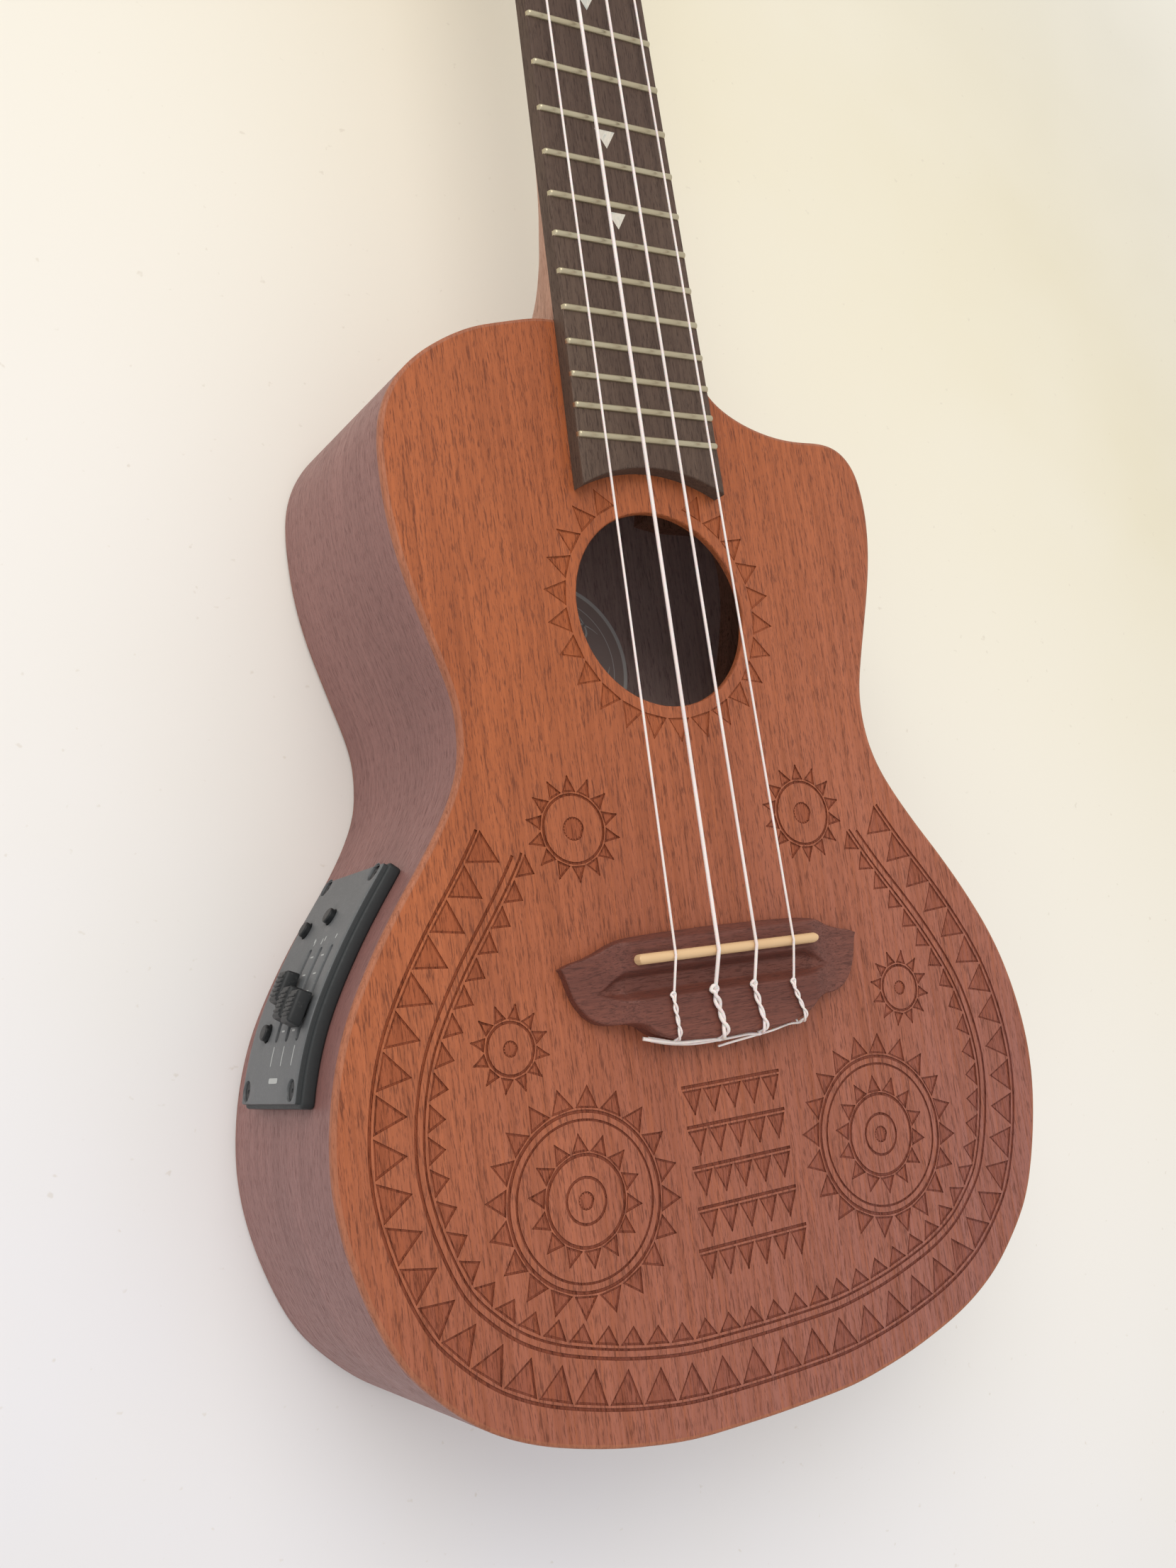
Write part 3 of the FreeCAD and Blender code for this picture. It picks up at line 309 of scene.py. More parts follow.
# the walls and deepest lines of the engraving: darker partly for the engraving's own char and partly as painted shade
# for the shading along the tiny walls
M["groove"] = wood("etched_edge", TOP_LIGHT, TOP_DARK, TOP_PORE, pores=0.64, streak=0.62, rough=0.66, painted_sheen=TOP_PAINTED_SHEEN, bump=0.00010,
                   spec=0.2, shade=((0.70, 0.61, 0.61), (0.86, 0.82, 0.82)))
M["top_edge"] = wood("mahogany_edge", lin(168, 104, 74), lin(140, 82, 58), lin(96, 54, 40), pores=0.4, rough=0.5, spec=0.3)
# side mahogany: paler and more purple-grey than the top, partly the wood's own tone and partly a painted sheen of the
# bluish sky light on the satin sides
M["side"] = wood("mahogany_side", lin(146, 102, 96), lin(118, 80, 76), lin(82, 54, 52), uv=True, pores=0.45, streak=0.4,
                 rough=0.44, pore_w=0.9, spec=0.35)
M["back"] = wood("mahogany_back", lin(146, 92, 76), lin(114, 70, 58), lin(68, 40, 32), pores=0.7, seed=3.1)
M["back_inner"] = wood("inner_back", lin(206, 178, 172), lin(176, 148, 144), lin(120, 92, 86), pores=0.5, seed=3.1, rough=0.75)
M["neck"] = wood("mahogany_neck", lin(194, 142, 116), lin(158, 110, 86), lin(106, 68, 50), pores=0.6, seed=1.7)
M["inner_wood"] = wood("inner_mahogany", lin(186, 136, 112), lin(158, 112, 90), lin(112, 74, 56), seed=5.0, rough=0.7)
M["spruce"] = wood("spruce", lin(214, 178, 128), lin(186, 146, 96), lin(160, 118, 72), pores=0.2, streak=0.7, rough=0.65,
                   seed=2.2)
M["rosewood"] = wood("rosewood_board", lin(96, 78, 66), lin(74, 56, 48), lin(46, 32, 28), pores=0.6, streak=0.6,
                     rough=0.55, seed=4.0, ribbon=0.5, pore_w=0.8, spec=0.22)
M["rosewood_x"] = wood("rosewood_bridge", lin(126, 74, 60), lin(92, 50, 42), lin(54, 30, 26), rot=(0, 0, math.pi / 2), pores=0.5,
                       streak=0.6, rough=0.48, seed=6.0, ribbon=0.5, pore_w=0.8, spec=0.3)
M["veneer"] = wood("rosewood_veneer", lin(88, 62, 50), lin(56, 38, 32), lin(30, 20, 18), pores=0.8, streak=0.7, rough=0.38,
                   seed=8.0, ribbon=0.6)
M["bone"] = plastic("bone", lin(212, 178, 136), 0.36, grain=700, bump=0.00001, mottled=0.5, tint=lin(194, 154, 108), spec=0.45)
M["fret"] = metal("fret_wire", lin(188, 178, 152), 0.36, seed=1.0, stain=lin(168, 152, 122), brush=(60, 60, 60))
M["chrome"] = metal("chrome", (0.60, 0.60, 0.62), 0.13, 0.03, seed=2.0)
M["steel"] = metal("plain_steel", (0.56, 0.56, 0.58), 0.3, seed=3.0)
M["plate"] = plastic("charcoal_plastic", lin(88, 90, 92), 0.46, grain=1300, bump=0.00004, mottled=0.35, dust=0.1)
M["plate_side"] = plastic("dark_edge_plastic", lin(30, 34, 36), 0.55, grain=1300, bump=0.00004, mottled=0.35)
M["cap"] = plastic("black_cap", lin(24, 26, 28), 0.42, grain=900, bump=0.00003, mottled=0.3, dust=0.05, spec=0.35)
M["case"] = plastic("black_case", lin(32, 33, 35), 0.5, grain=700)
# pale print, also used for the painted glints at the ends of the slots
M["print"] = plastic("pale_print_and_glint", lin(168, 170, 168), 0.5, grain=900, mottled=0.4)
M["board"] = plastic("circuit_board", lin(30, 92, 60), 0.4, grain=300, mottled=0.5)
M["battery"] = plastic("battery_can", lin(52, 56, 66), 0.35, grain=200, mottled=0.5)
M["lead"] = plastic("lead_jacket", lin(26, 26, 27), 0.55, grain=900)
M["strip"] = metal("pickup_braid", (0.62, 0.62, 0.64), 0.42, seed=4.0, brush=(3000, 3000, 3000))
M["paper"] = plastic("label_paper", lin(196, 176, 172), 0.85, grain=500, mottled=0.5, spec=0.2)
M["paper_line"] = plastic("label_print", lin(246, 242, 240), 0.85, grain=500, mottled=0.3, spec=0.2)


def nylon():
    n = Nodes("nylon_string")
    a = n.noise(n.coords(scale=(500, 60, 500)), detail=3)
    col = n.mix(n.grey(a, 0.35, 0.7, 0, 0.5), lin(228, 218, 214), lin(206, 193, 190))
    r = n.grey(a, 0.3, 0.7, 0.28, 0.4)
    n.bump(a, 0.00001, 0.4)
    return n.finish(color=col, rough=r, sss=0.25, sss_scale=0.0006, spec=0.5)


def pearl(name, tones, scale=260, rough=0.18):
    n = Nodes(name)
    a = n.noise(n.coords(scale=(scale, scale * 0.5, scale)), detail=4, rough=0.6, distortion=1.6)
    b = n.noise(n.coords(scale=(scale * 0.4,) * 3), detail=2, distortion=2.5)
    col = n.ramp(a, [(0.3, tones[0]), (0.48, tones[1]), (0.62, tones[2])])
    col = n.mix(n.grey(b, 0.4, 0.65, 0, 0.6), col, tones[3])
    n.bump(a, 0.00001, 0.4)
    return n.finish(color=col, rough=n.grey(b, 0.3, 0.7, rough, rough + 0.12), spec=0.6, coat=0.5, coat_rough=0.1)


M["nylon"] = nylon()
M["pearl"] = pearl("shell_inlay", [lin(182, 176, 164), lin(204, 198, 184), lin(166, 170, 164), lin(208, 198, 184)])
M["pearl_knob"] = pearl("pearl_button", [lin(228, 226, 216), lin(242, 240, 232), lin(214, 216, 212), lin(246, 240, 228)], 120)


# ------------------------------------------------------------------ mesh tools
def new_piece(name, verts, faces, mats, body="root", idx=None, uv=None, angle=38, replaces=(), smooth=True):
    me = bpy.data.meshes.new(name)
    me.from_pydata([(x * MM, y * MM, z * MM) for x, y, z in verts], [], [list(f) for f in faces])
    for mt in mats if isinstance(mats, (list, tuple)) else [mats]:
        me.materials.append(mt)
    if idx is not None:
        me.polygons.foreach_set("material_index", np.array(idx, np.int32))
    if uv is not None:
        layer = me.uv_layers.new(name="UVMap")
        for loop in me.loops:
            layer.data[loop.index].uv = uv[loop.vertex_index]
    me.update()
    if smooth:
        me.shade_smooth()
        me.set_sharp_from_angle(angle=math.radians(angle))
    o = bpy.data.objects.new(name, me)
    scene.collection.objects.link(o)
    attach(o, body)
    if replaces:
        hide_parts(*replaces)
    return o


class Soup:
    """Collects several closed shells into one piece."""

    def __init__(self):
        self.v, self.f, self.i = [], [], []

    def add(self, verts, faces, idx=0):
        k = len(self.v)
        self.v.extend([tuple(float(c) for c in p) for p in verts])
        self.f.extend([tuple(k + j for j in f) for f in faces])
        self.i.extend([idx] * len(faces) if isinstance(idx, int) else list(idx))


def sweep(path, radius, n=10, caps=True):
    """A round tube along points, with a radius or one radius a point."""
    P = np.array(path, float)
    keep = [0] + [i for i in range(1, len(P)) if np.linalg.norm(P[i] - P[i - 1]) > 1e-6]
    P = P[keep]
    R = np.full(len(P), radius) if np.isscalar(radius) else np.array(radius, float)[keep]
    T = np.zeros_like(P)
    T[1:-1] = P[2:] - P[:-2]
    T[0], T[-1] = P[1] - P[0], P[-1] - P[-2]
    T /= np.linalg.norm(T, axis=1)[:, None]
    a = np.array([0, 0, 1.0]) if abs(T[0][2]) < 0.9 else np.array([1.0, 0, 0])
    u = np.cross(T[0], a)
    u /= np.linalg.norm(u)
    verts, faces = [], []
    for i in range(len(P)):
        if i:
            u = u - T[i] * np.dot(u, T[i])
            u /= np.linalg.norm(u)
        w = np.cross(T[i], u)
        for k in range(n):
            t = 2 * math.pi * k / n
            verts.append(P[i] + (u * math.cos(t) + w * math.sin(t)) * R[i])
    for i in range(len(P) - 1):
        for k in range(n):
            a0, a1 = i * n + k, i * n + (k + 1) % n
            faces.append((a0, a1, a1 + n, a0 + n))
    if caps:
        faces.append(tuple(range(n - 1, -1, -1)))
        faces.append(tuple((len(P) - 1) * n + k for k in range(n)))
    return verts, faces


def spline_pts(pts, step, closed=False):
    """A centripetal Catmull-Rom curve through points, resampled about every step."""
    P = np.array(pts, float)
    n = len(P)
    if closed:
        Q = np.vstack([P[-1], P, P[0], P[1]])
        segs = n
    else:
        Q = np.vstack([2 * P[0] - P[1], P, 2 * P[-1] - P[-2]])
        segs = n - 1
    out = []
    for i in range(segs):
        p0, p1, p2, p3 = Q[i], Q[i + 1], Q[i + 2], Q[i + 3]
        t0 = 0.0
        t1 = t0 + max(np.linalg.norm(p1 - p0), 1e-9) ** 0.5
        t2 = t1 + max(np.linalg.norm(p2 - p1), 1e-9) ** 0.5
        t3 = t2 + max(np.linalg.norm(p3 - p2), 1e-9) ** 0.5
        k = max(2, int(np.linalg.norm(p2 - p1) / step * 3) + 1)
        for t in np.linspace(t1, t2, k, endpoint=False):
            a1 = (t1 - t) / (t1 - t0) * p0 + (t - t0) / (t1 - t0) * p1
            a2 = (t2 - t) / (t2 - t1) * p1 + (t - t1) / (t2 - t1) * p2
            a3 = (t3 - t) / (t3 - t2) * p2 + (t - t2) / (t3 - t2) * p3
            b1 = (t2 - t) / (t2 - t0) * a1 + (t - t0) / (t2 - t0) * a2
            b2 = (t3 - t) / (t3 - t1) * a2 + (t - t1) / (t3 - t1) * a3
            out.append((t2 - t) / (t2 - t1) * b1 + (t - t1) / (t2 - t1) * b2)
    out.append(Q[segs + 1] if not closed else Q[1])
    return resample(np.array(out), step)


def resample(P, step=None, count=None):
    d = np.concatenate([[0], np.cumsum(np.linalg.norm(np.diff(P, axis=0), axis=1))])
    n = count or max(2, int(round(d[-1] / step)) + 1)
    s = np.linspace(0, d[-1], n)
    return np.stack([np.interp(s, d, P[:, k]) for k in range(P.shape[1])], 1)


def area2(P):
    P = np.asarray(P)
    x, y = P[:, 0], P[:, 1]
    return float(np.sum(x * np.roll(y, -1) - np.roll(x, -1) * y)) / 2


def ccw(P):
    P = np.asarray(P, float)
    return P if area2(P) > 0 else P[::-1]


def inset(P, d):
    """Moves a closed counter-clockwise outline inwards by d, with mitred corners."""
    P = np.asarray(P, float)
    a = P - np.roll(P, 1, axis=0)
    b = np.roll(P, -1, axis=0) - P
    a /= np.linalg.norm(a, axis=1)[:, None]
    b /= np.linalg.norm(b, axis=1)[:, None]
    na = np.stack([-a[:, 1], a[:, 0]], 1)
    nb = np.stack([-b[:, 1], b[:, 0]], 1)
    m = na + nb
    k = np.clip(np.sum(m * na, axis=1), 0.35, None)
    return P + m / k[:, None] * d


def round_profile(r, h0, h1, segs=5, rb=0.0, segs_b=3):
    """(inset, height) pairs from the bottom cap to the top cap, with rounded edges."""
    prof = []
    if rb > 0:
        prof.append((rb + 0.12, h0))
        for i in range(segs_b + 1):
            t = math.pi / 2 * i / segs_b
            prof.append((rb * (1 - math.sin(t)), h0 + rb * (1 - math.cos(t))))
    else:
        prof.append((0.0, h0))
    if r > 0:
        for i in range(segs + 1):
            t = math.pi / 2 * i / segs
            prof.append((r * (1 - math.cos(t)), h1 - r + r * math.sin(t)))
        prof.append((r + 0.12, h1))
    else:
        prof.append((0.0, h1))
    return prof


def cdt(loops, motifs=(), extra=()):
    """Triangles between an outer outline and its holes, with the level of each one."""
    verts, faces = [], []
    for P in loops:
        faces.append(list(range(len(verts), len(verts) + len(P))))
        verts.extend(Vector((float(p[0]), float(p[1]))) for p in P)
    nl = len(loops)
    lv = []
    for level, P in motifs:
        P = ccw(P)
        lv.append(level)
        faces.append(list(range(len(verts), len(verts) + len(P))))
        verts.extend(Vector((float(p[0]), float(p[1]))) for p in P)
    verts.extend(Vector((float(p[0]), float(p[1]))) for p in extra)
    V, E, F, ov, oe, of = delaunay_2d_cdt(verts, [], faces, 0, 1e-5, True)
    src = {}
    for i, o in enumerate(ov):
        for j in o:
            src[j] = i
    tris, levels = [], []
    for f, o in zip(F, of):
        if 0 not in o or any(0 < k < nl for k in o):
            continue
        best = 0
        for k in o:
            if k >= nl:
                best = max(best, lv[k - nl])
        f = list(f)
        if area2(np.array([V[i] for i in f])) < 0:
            f = f[::-1]
        tris.append(f)
        levels.append(best)
    return [(v[0], v[1]) for v in V], tris, levels, src


def plate(outer, holes, prof, hole_prof=None, motifs=(), depth=(0, 0.25, 0.4), fn=None, extra=(), rim_idx=0, flat_idx=0,
          rim_range=None):
    """A plate with a profiled rim and holes. prof lists (inset, height) from its bottom to its top; hole_prof the same for holes,
    where the offset makes a hole larger. Returns vertices, faces and material numbers."""
    outer = ccw(outer)
    holes = [ccw(h) for h in holes]
    hole_prof = hole_prof or [prof] * len(holes)
    verts, faces, idx = [], [], []
    fn = fn or (lambda x, y, h: (x, y, h))
    ends = {}
    for kind, (P, pr) in enumerate([(outer, prof)] + list(zip(holes, hole_prof))):
        n = len(P)
        rings = []
        for off, h in pr:
            Q = inset(P, off) if kind == 0 else inset(P, -off)
            rings.append([len(verts) + i for i in range(n)])
            verts.extend(fn(float(q[0]), float(q[1]), h) for q in Q)
        for r in range(len(rings) - 1):
            for i in range(n):
                j = (i + 1) % n
                f = (rings[r][i], rings[r][j], rings[r + 1][j], rings[r + 1][i])
                faces.append(f if kind == 0 else f[::-1])
                lit = kind == 0 and (rim_range is None or rim_range[0] <= r < rim_range[1])
                idx.append(rim_idx if lit else flat_idx)
        ends[kind] = (rings[0], rings[-1], inset(P, pr[0][0] if kind == 0 else -pr[0][0]),
                      inset(P, pr[-1][0] if kind == 0 else -pr[-1][0]), pr[0][1], pr[-1][1])
    for side in (0, 1):
        loops = [ends[k][2 + side] for k in range(len(ends))]
        h = ends[0][4 + side]
        V, tris, lev, src = cdt(loops, motifs if side else (), extra)
        owner, k = {}, 0
        for kind in range(len(ends)):
            for i in range(len(loops[kind])):
                owner[src[k]] = ends[kind][side][i]
                k += 1
        made = {}

        def vert(i, level):
            if level == 0 and i in owner:
                return owner[i]
            if (i, level) not in made:
                made[(i, level)] = len(verts)
                verts.append(fn(V[i][0], V[i][1], h - depth[level]))
            return made[(i, level)]
        edge = {}
        for f, L in zip(tris, lev):
            g = [vert(i, L) for i in f]
            faces.append(tuple(g) if side else tuple(g[::-1]))
            idx.append(flat_idx if L == 0 else L)
            if side and motifs:
                for a, b in zip(f, f[1:] + f[:1]):
                    edge[(a, b)] = L
        for (a, b), L in edge.items():
            o = edge.get((b, a))
            if o is None or o >= L:
                continue
            # this triangle is lower than its neighbour: the wall rises along its edge to the neighbour
            f = [vert(a, L)]
            f.append(vert(b, L))
            if L == 2 and o == 0 and (b, 1) in made:
                f.append(made[(b, 1)])
            f.append(vert(b, o))
            f.append(vert(a, o))
            if L == 2 and o == 0 and (a, 1) in made:
                f.append(made[(a, 1)])
            faces.append(tuple(f[::-1]))
            idx.append(2)
    return verts, faces, idx


def cad_points(node):
    me = NODES[node].data
    co = np.zeros(len(me.vertices) * 3, np.float64)
    me.vertices.foreach_get("co", co)
    return co.reshape(-1, 3) / MM


def cad_loops(node, z, tol=0.02):
    """Boundary outlines of a CAD node's flat face at height z."""
    me = NODES[node].data
    co = cad_points(node)
    keys, index = {}, []
    for p in co:
        k = (round(p[0], 3), round(p[1], 3), round(p[2], 3))
        index.append(keys.setdefault(k, len(keys)))
    pts = {v: k for k, v in keys.items()}
    count = {}
    for p in me.polygons:
        vs = [index[i] for i in p.vertices]
        if all(abs(pts[i][2] - z) < tol for i in vs):
            for a, b in zip(vs, vs[1:] + vs[:1]):
                if (b, a) in count:
                    del count[(b, a)]
                else:
                    count[(a, b)] = 1
    nxt = {a: b for a, b in count}
    loops = []
    while nxt:
        a = next(iter(nxt))
        loop = []
        while a in nxt:
            loop.append(a)
            a = nxt.pop(a)
        loops.append(np.array([pts[i][:2] for i in loop]))
    loops.sort(key=lambda L: -abs(area2(L)))
    return loops


def smooth_loop(P, step, corner=32):
    """Resamples a closed outline evenly along smooth curves, and keeps its corners."""
    P = ccw(P)
    d = np.linalg.norm(P - np.roll(P, 1, axis=0), axis=1)
    P = P[d > 0.02]
    a = P - np.roll(P, 1, axis=0)
    b = np.roll(P, -1, axis=0) - P
    ang = np.degrees(np.abs(np.arctan2(a[:, 0] * b[:, 1] - a[:, 1] * b[:, 0], (a * b).sum(1))))
    cs = [i for i in range(len(P)) if ang[i] > corner]
    if not cs:
        return spline_pts(P, step, closed=True)[:-1]
    out = []
    for k, i in enumerate(cs):
        j = cs[(k + 1) % len(cs)]
        run = [P[q % len(P)] for q in range(i, j + 1 if j > i else j + len(P) + 1)]
        out.append((spline_pts(run, step) if len(run) > 2 else resample(np.array(run), step))[:-1])
    return np.vstack(out)


def soft_copy(node, name, width, mats, segs=3, angle=32, body=None, weld=0.00001):
    """A copy of a CAD node with its hard edges rounded, shown in the node's place."""
    src = NODES[node]
    bm = bmesh.new()
    bm.from_mesh(src.data)
    bmesh.ops.remove_doubles(bm, verts=bm.verts, dist=weld)
    bmesh.ops.dissolve_limit(bm, angle_limit=math.radians(0.6), verts=bm.verts, edges=bm.edges)
    me = bpy.data.meshes.new(name)
    bm.to_mesh(me)
    bm.free()
    o = bpy.data.objects.new(name, me)
    scene.collection.objects.link(o)
    for mt in mats if isinstance(mats, (list, tuple)) else [mats]:
        me.materials.append(mt)
    me.polygons.foreach_set("material_index", np.zeros(len(me.polygons), np.int32))
    if width:
        mod = o.modifiers.new("edge", "BEVEL")
        mod.width = width * MM
        mod.segments = segs
        mod.limit_method = "ANGLE"
        mod.angle_limit = math.radians(angle)
        mod.use_clamp_overlap = True
        mod.harden_normals = False
        dg = bpy.context.evaluated_depsgraph_get()
        done = bpy.data.meshes.new_from_object(o.evaluated_get(dg))
        o.modifiers.clear()
        o.data = done
    o.data.shade_smooth()
    o.data.set_sharp_from_angle(angle=math.radians(34))
    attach(o, body or src["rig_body"])
    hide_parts(node)
    return o


def dress(node, mat):
    """A better material on a CAD node that stays."""
    o = NODES[node]
    if not o.material_slots:
        o.data.materials.append(mat)
    for s in o.material_slots:
        s.material = mat


def pchip(x, y, q):
    """Monotone cubic through points."""
    x, y, q = np.array(x, float), np.array(y, float), np.atleast_1d(np.array(q, float))
    h = np.diff(x)
    d = np.diff(y) / h
    m_ = np.zeros(len(x))
    for i in range(1, len(x) - 1):
        if d[i - 1] * d[i] > 0:
            w1, w2 = 2 * h[i] + h[i - 1], h[i] + 2 * h[i - 1]
            m_[i] = (w1 + w2) / (w1 / d[i - 1] + w2 / d[i])
    m_[0], m_[-1] = d[0], d[-1]
    i = np.clip(np.searchsorted(x, q) - 1, 0, len(h) - 1)
    t = np.clip((q - x[i]) / h[i], 0, 1)
    a, b = y[i], y[i + 1]
    return (2 * t ** 3 - 3 * t ** 2 + 1) * a + (t ** 3 - 2 * t ** 2 + t) * h[i] * m_[i] + (-2 * t ** 3 + 3 * t ** 2) * b \
        + (t ** 3 - t ** 2) * h[i] * m_[i + 1]


def sstep(t):
    t = np.clip(t, 0, 1)
    return t * t * (3 - 2 * t)


# ------------------------------------------------------------------ the body's outline
loops = cad_loops("soundboard", TOP)
rim = smooth_loop(loops[0], 1.1)
hole = np.array([(26.4 * math.cos(2 * math.pi * i / 160), 89.9 + 26.4 * math.sin(2 * math.pi * i / 160)) for i in range(160)])


def start_at(P, p):
    k = int(np.argmin(np.hypot(P[:, 0] - p[0], P[:, 1] - p[1])))
    return np.roll(P, -k, axis=0)


rim = start_at(rim, (0, -115.3))
bass_line = np.vstack([rim[:1], rim[:0:-1]])          # clockwise from the tail: along the bass side
bass_line = np.vstack([[0.0, -115.3], bass_line[1:]])
bass_s = np.concatenate([[0], np.cumsum(np.linalg.norm(np.diff(bass_line, axis=0), axis=1))])


def bass_at(t):
    p = np.array([np.interp(t, bass_s, bass_line[:, 0]), np.interp(t, bass_s, bass_line[:, 1])])
    a = np.array([np.interp(t - 2.5, bass_s, bass_line[:, 0]), np.interp(t - 2.5, bass_s, bass_line[:, 1])])
    b = np.array([np.interp(t + 2.5, bass_s, bass_line[:, 0]), np.interp(t + 2.5, bass_s, bass_line[:, 1])])
    T = (b - a) / np.linalg.norm(b - a)
    return p, T, np.array([-T[1], T[0]])


# ------------------------------------------------------------------ etched ornament of the soundboard
# Generic ornament, the same left and right: a border, plain rings and rows of triangles, in millimetres.
MOTIFS = []
RIM_IN = inset(rim, 3.0)
FB_END_Y = 118.5


def inside(P, x, y):
    a, b = P, np.roll(P, -1, axis=0)
    c = (a[:, 1] > y) != (b[:, 1] > y)
    with np.errstate(divide="ignore", invalid="ignore"):
        xi = a[:, 0] + (y - a[:, 1]) / (b[:, 1] - a[:, 1]) * (b[:, 0] - a[:, 0])
    return bool(np.sum(c & (x < xi)) % 2)


BRIDGE_KEEP = np.array([(-47, -0.5), (-28, 6), (28, 6), (47, -0.5), (45, -10), (36, -16), (22, -22.5), (-22, -22.5), (-36, -16), (-45, -10)])


def keep(P):
    for x, y in P:
        if not inside(RIM_IN, x, y) or math.hypot(x, y - 89.9) < 28.0:
            return False
    c = np.mean(P, axis=0)
    return not (abs(c[0]) < 26 and c[1] > FB_END_Y)


def poly(level, P):
    P = np.array(P, float)
    if abs(area2(P)) > 0.02 and keep(P):
        MOTIFS.append((level, P))


def stroke(pts, w, level=1, closed=False):
    """A line of width w (one value, or a start and an end width), cut into short pieces."""
    P = np.array(pts, float)
    n = len(P)
    W = np.full(n, w) if np.isscalar(w) else np.interp(np.linspace(0, 1, n), np.linspace(0, 1, len(w)), w)
    T = np.gradient(P, axis=0)
    if closed:
        T = np.roll(P, -1, axis=0) - np.roll(P, 1, axis=0)
    T /= np.linalg.norm(T, axis=1)[:, None]
    N_ = np.stack([-T[:, 1], T[:, 0]], 1)
    A, B = P + N_ * W[:, None] / 2, P - N_ * W[:, None] / 2
    last = n if closed else n - 1
    i = 0
    while i < last:
        j = min(i + 6, last)
        ids = [q % n for q in range(i, j + 1)]
        poly(level, np.vstack([B[ids], A[ids[::-1]]]))
        i = j


OUT_W = 0.52


def tile(P, outline=True, level=1):
    """A filled shape with a deeper line round it."""
    P = ccw(P)
    poly(level, P)
    # the deeper line round each shape takes the darkest colour: partly char, partly painted shade along the shape's
    # edge
    if outline:
        for a, b in zip(P, np.roll(P, -1, axis=0)):
            d = (b - a) / np.linalg.norm(b - a)
            q = np.array([-d[1], d[0]]) * OUT_W
            poly(2, [a, b, b + q - d * OUT_W * 0.6, a + q + d * OUT_W * 0.6])


def arc_pts(c, r, a0, a1, step=1.6):
    n = max(4, int(abs(math.radians(a1 - a0)) * r / step))
    t = np.radians(np.linspace(a0, a1, n + 1))
    return np.stack([c[0] + r * np.cos(t), c[1] + r * np.sin(t)], 1)


def teeth(path, n, h, side=1, gap=0.12, lean=0.0, grow=None):
    """Triangles standing on a line. side 1 is to its left."""
    P = resample(np.array(path, float), count=600)
    d = np.concatenate([[0], np.cumsum(np.linalg.norm(np.diff(P, axis=0), axis=1))])
    for k in range(n):
        a, b = d[-1] * (k + gap / 2) / n, d[-1] * (k + 1 - gap / 2) / n
        at = lambda s: np.array([np.interp(s, d, P[:, 0]), np.interp(s, d, P[:, 1])])
        pa, pb = at(a), at(b)
        t = (pb - pa) / np.linalg.norm(pb - pa)
        nn = np.array([-t[1], t[0]]) * side
        hh = h if grow is None else h + (grow - h) * k / max(n - 1, 1)
        apex = (pa + pb) / 2 + nn * hh + t * lean * hh
        tile([pa, pb, apex])


def line2(path, w=0.9):
    """An etched line with crisp deep edges."""
    stroke(path, w, 2)


# saw-tooth ring round the sound hole
teeth(arc_pts((0, 89.9), 29.8, 360, 0, 1.0), 26, 6.6, 1, gap=0.06)

def border(d, y_top):
    """The part of the body's outline below y_top, moved inwards by d."""
    P = resample(np.vstack([inset(rim, d), inset(rim, d)[:1]]), 1.3)[:-1]
    k = int(np.argmin(np.where(P[:, 0] < 0, np.abs(P[:, 1] - y_top) + np.where(np.abs(P[:, 0]) < 40, 999, 0), 999)))
    P = np.roll(P, -k, axis=0)
    n = next(i for i in range(20, len(P)) if P[i, 0] > 40 and P[i, 1] > y_top)
    return P[:n]


# a border of two rows of triangles that follows the lower bout, the same on both sides
line2(border(8.5, 34), 0.8)
teeth(border(9.4, 34), 46, 8.0, 1, gap=0.05)
line2(border(19.6, 28), 0.8)
stroke(border(21.6, 28), 0.6, 2)
teeth(border(22.5, 28), 54, 4.4, 1, gap=0.08)
# two roundels of plain rings, mirrored about the centre line
for sx in (-1, 1):
    c = (46.5 * sx, -55.0)
    line2(arc_pts(c, 20.6, 360, 0), 0.8)
    stroke(arc_pts(c, 18.6, 360, 0), 0.6, 2, True)
    teeth(arc_pts(c, 21.5, 360, 0, 1.2), 20, 5.6, 1, gap=0.06)
    line2(arc_pts(c, 10.6, 360, 0), 0.8)
    teeth(arc_pts(c, 11.4, 360, 0, 1.2), 14, 4.6, 1, gap=0.06)
    line2(arc_pts(c, 5.4, 360, 0), 0.7)
    tile(arc_pts(c, 2.2, 0, 330, 0.9)[:-1])
    c = (36.5 * sx, 33.0)
    line2(arc_pts(c, 8.6, 360, 0), 0.7)
    teeth(arc_pts(c, 9.4, 360, 0, 1.0), 14, 4.4, 1, gap=0.06)
    tile(arc_pts(c, 3.0, 0, 330, 0.9)[:-1])
    c = (61.5 * sx, -17.5)
    line2(arc_pts(c, 6.2, 360, 0), 0.7)
    teeth(arc_pts(c, 7.0, 360, 0, 1.0), 12, 3.9, 1, gap=0.06)
    tile(arc_pts(c, 2.0, 0, 330, 0.9)[:-1])
# rows of triangles down the middle
for k in range(5):
    y = -33.5 - 9.8 * k
    half = (15.5, 15.5, 15.5, 15.5, 17.0)[k]
    path = np.stack([np.linspace(-half, half, int(half * 1.6)), np.full(int(half * 1.6), y)], 1)
    line2(path, 0.8)
    teeth((path + np.array([0, -0.9]))[::-1], 5 if half < 17 else 6, 6.4, 1, gap=0.05)

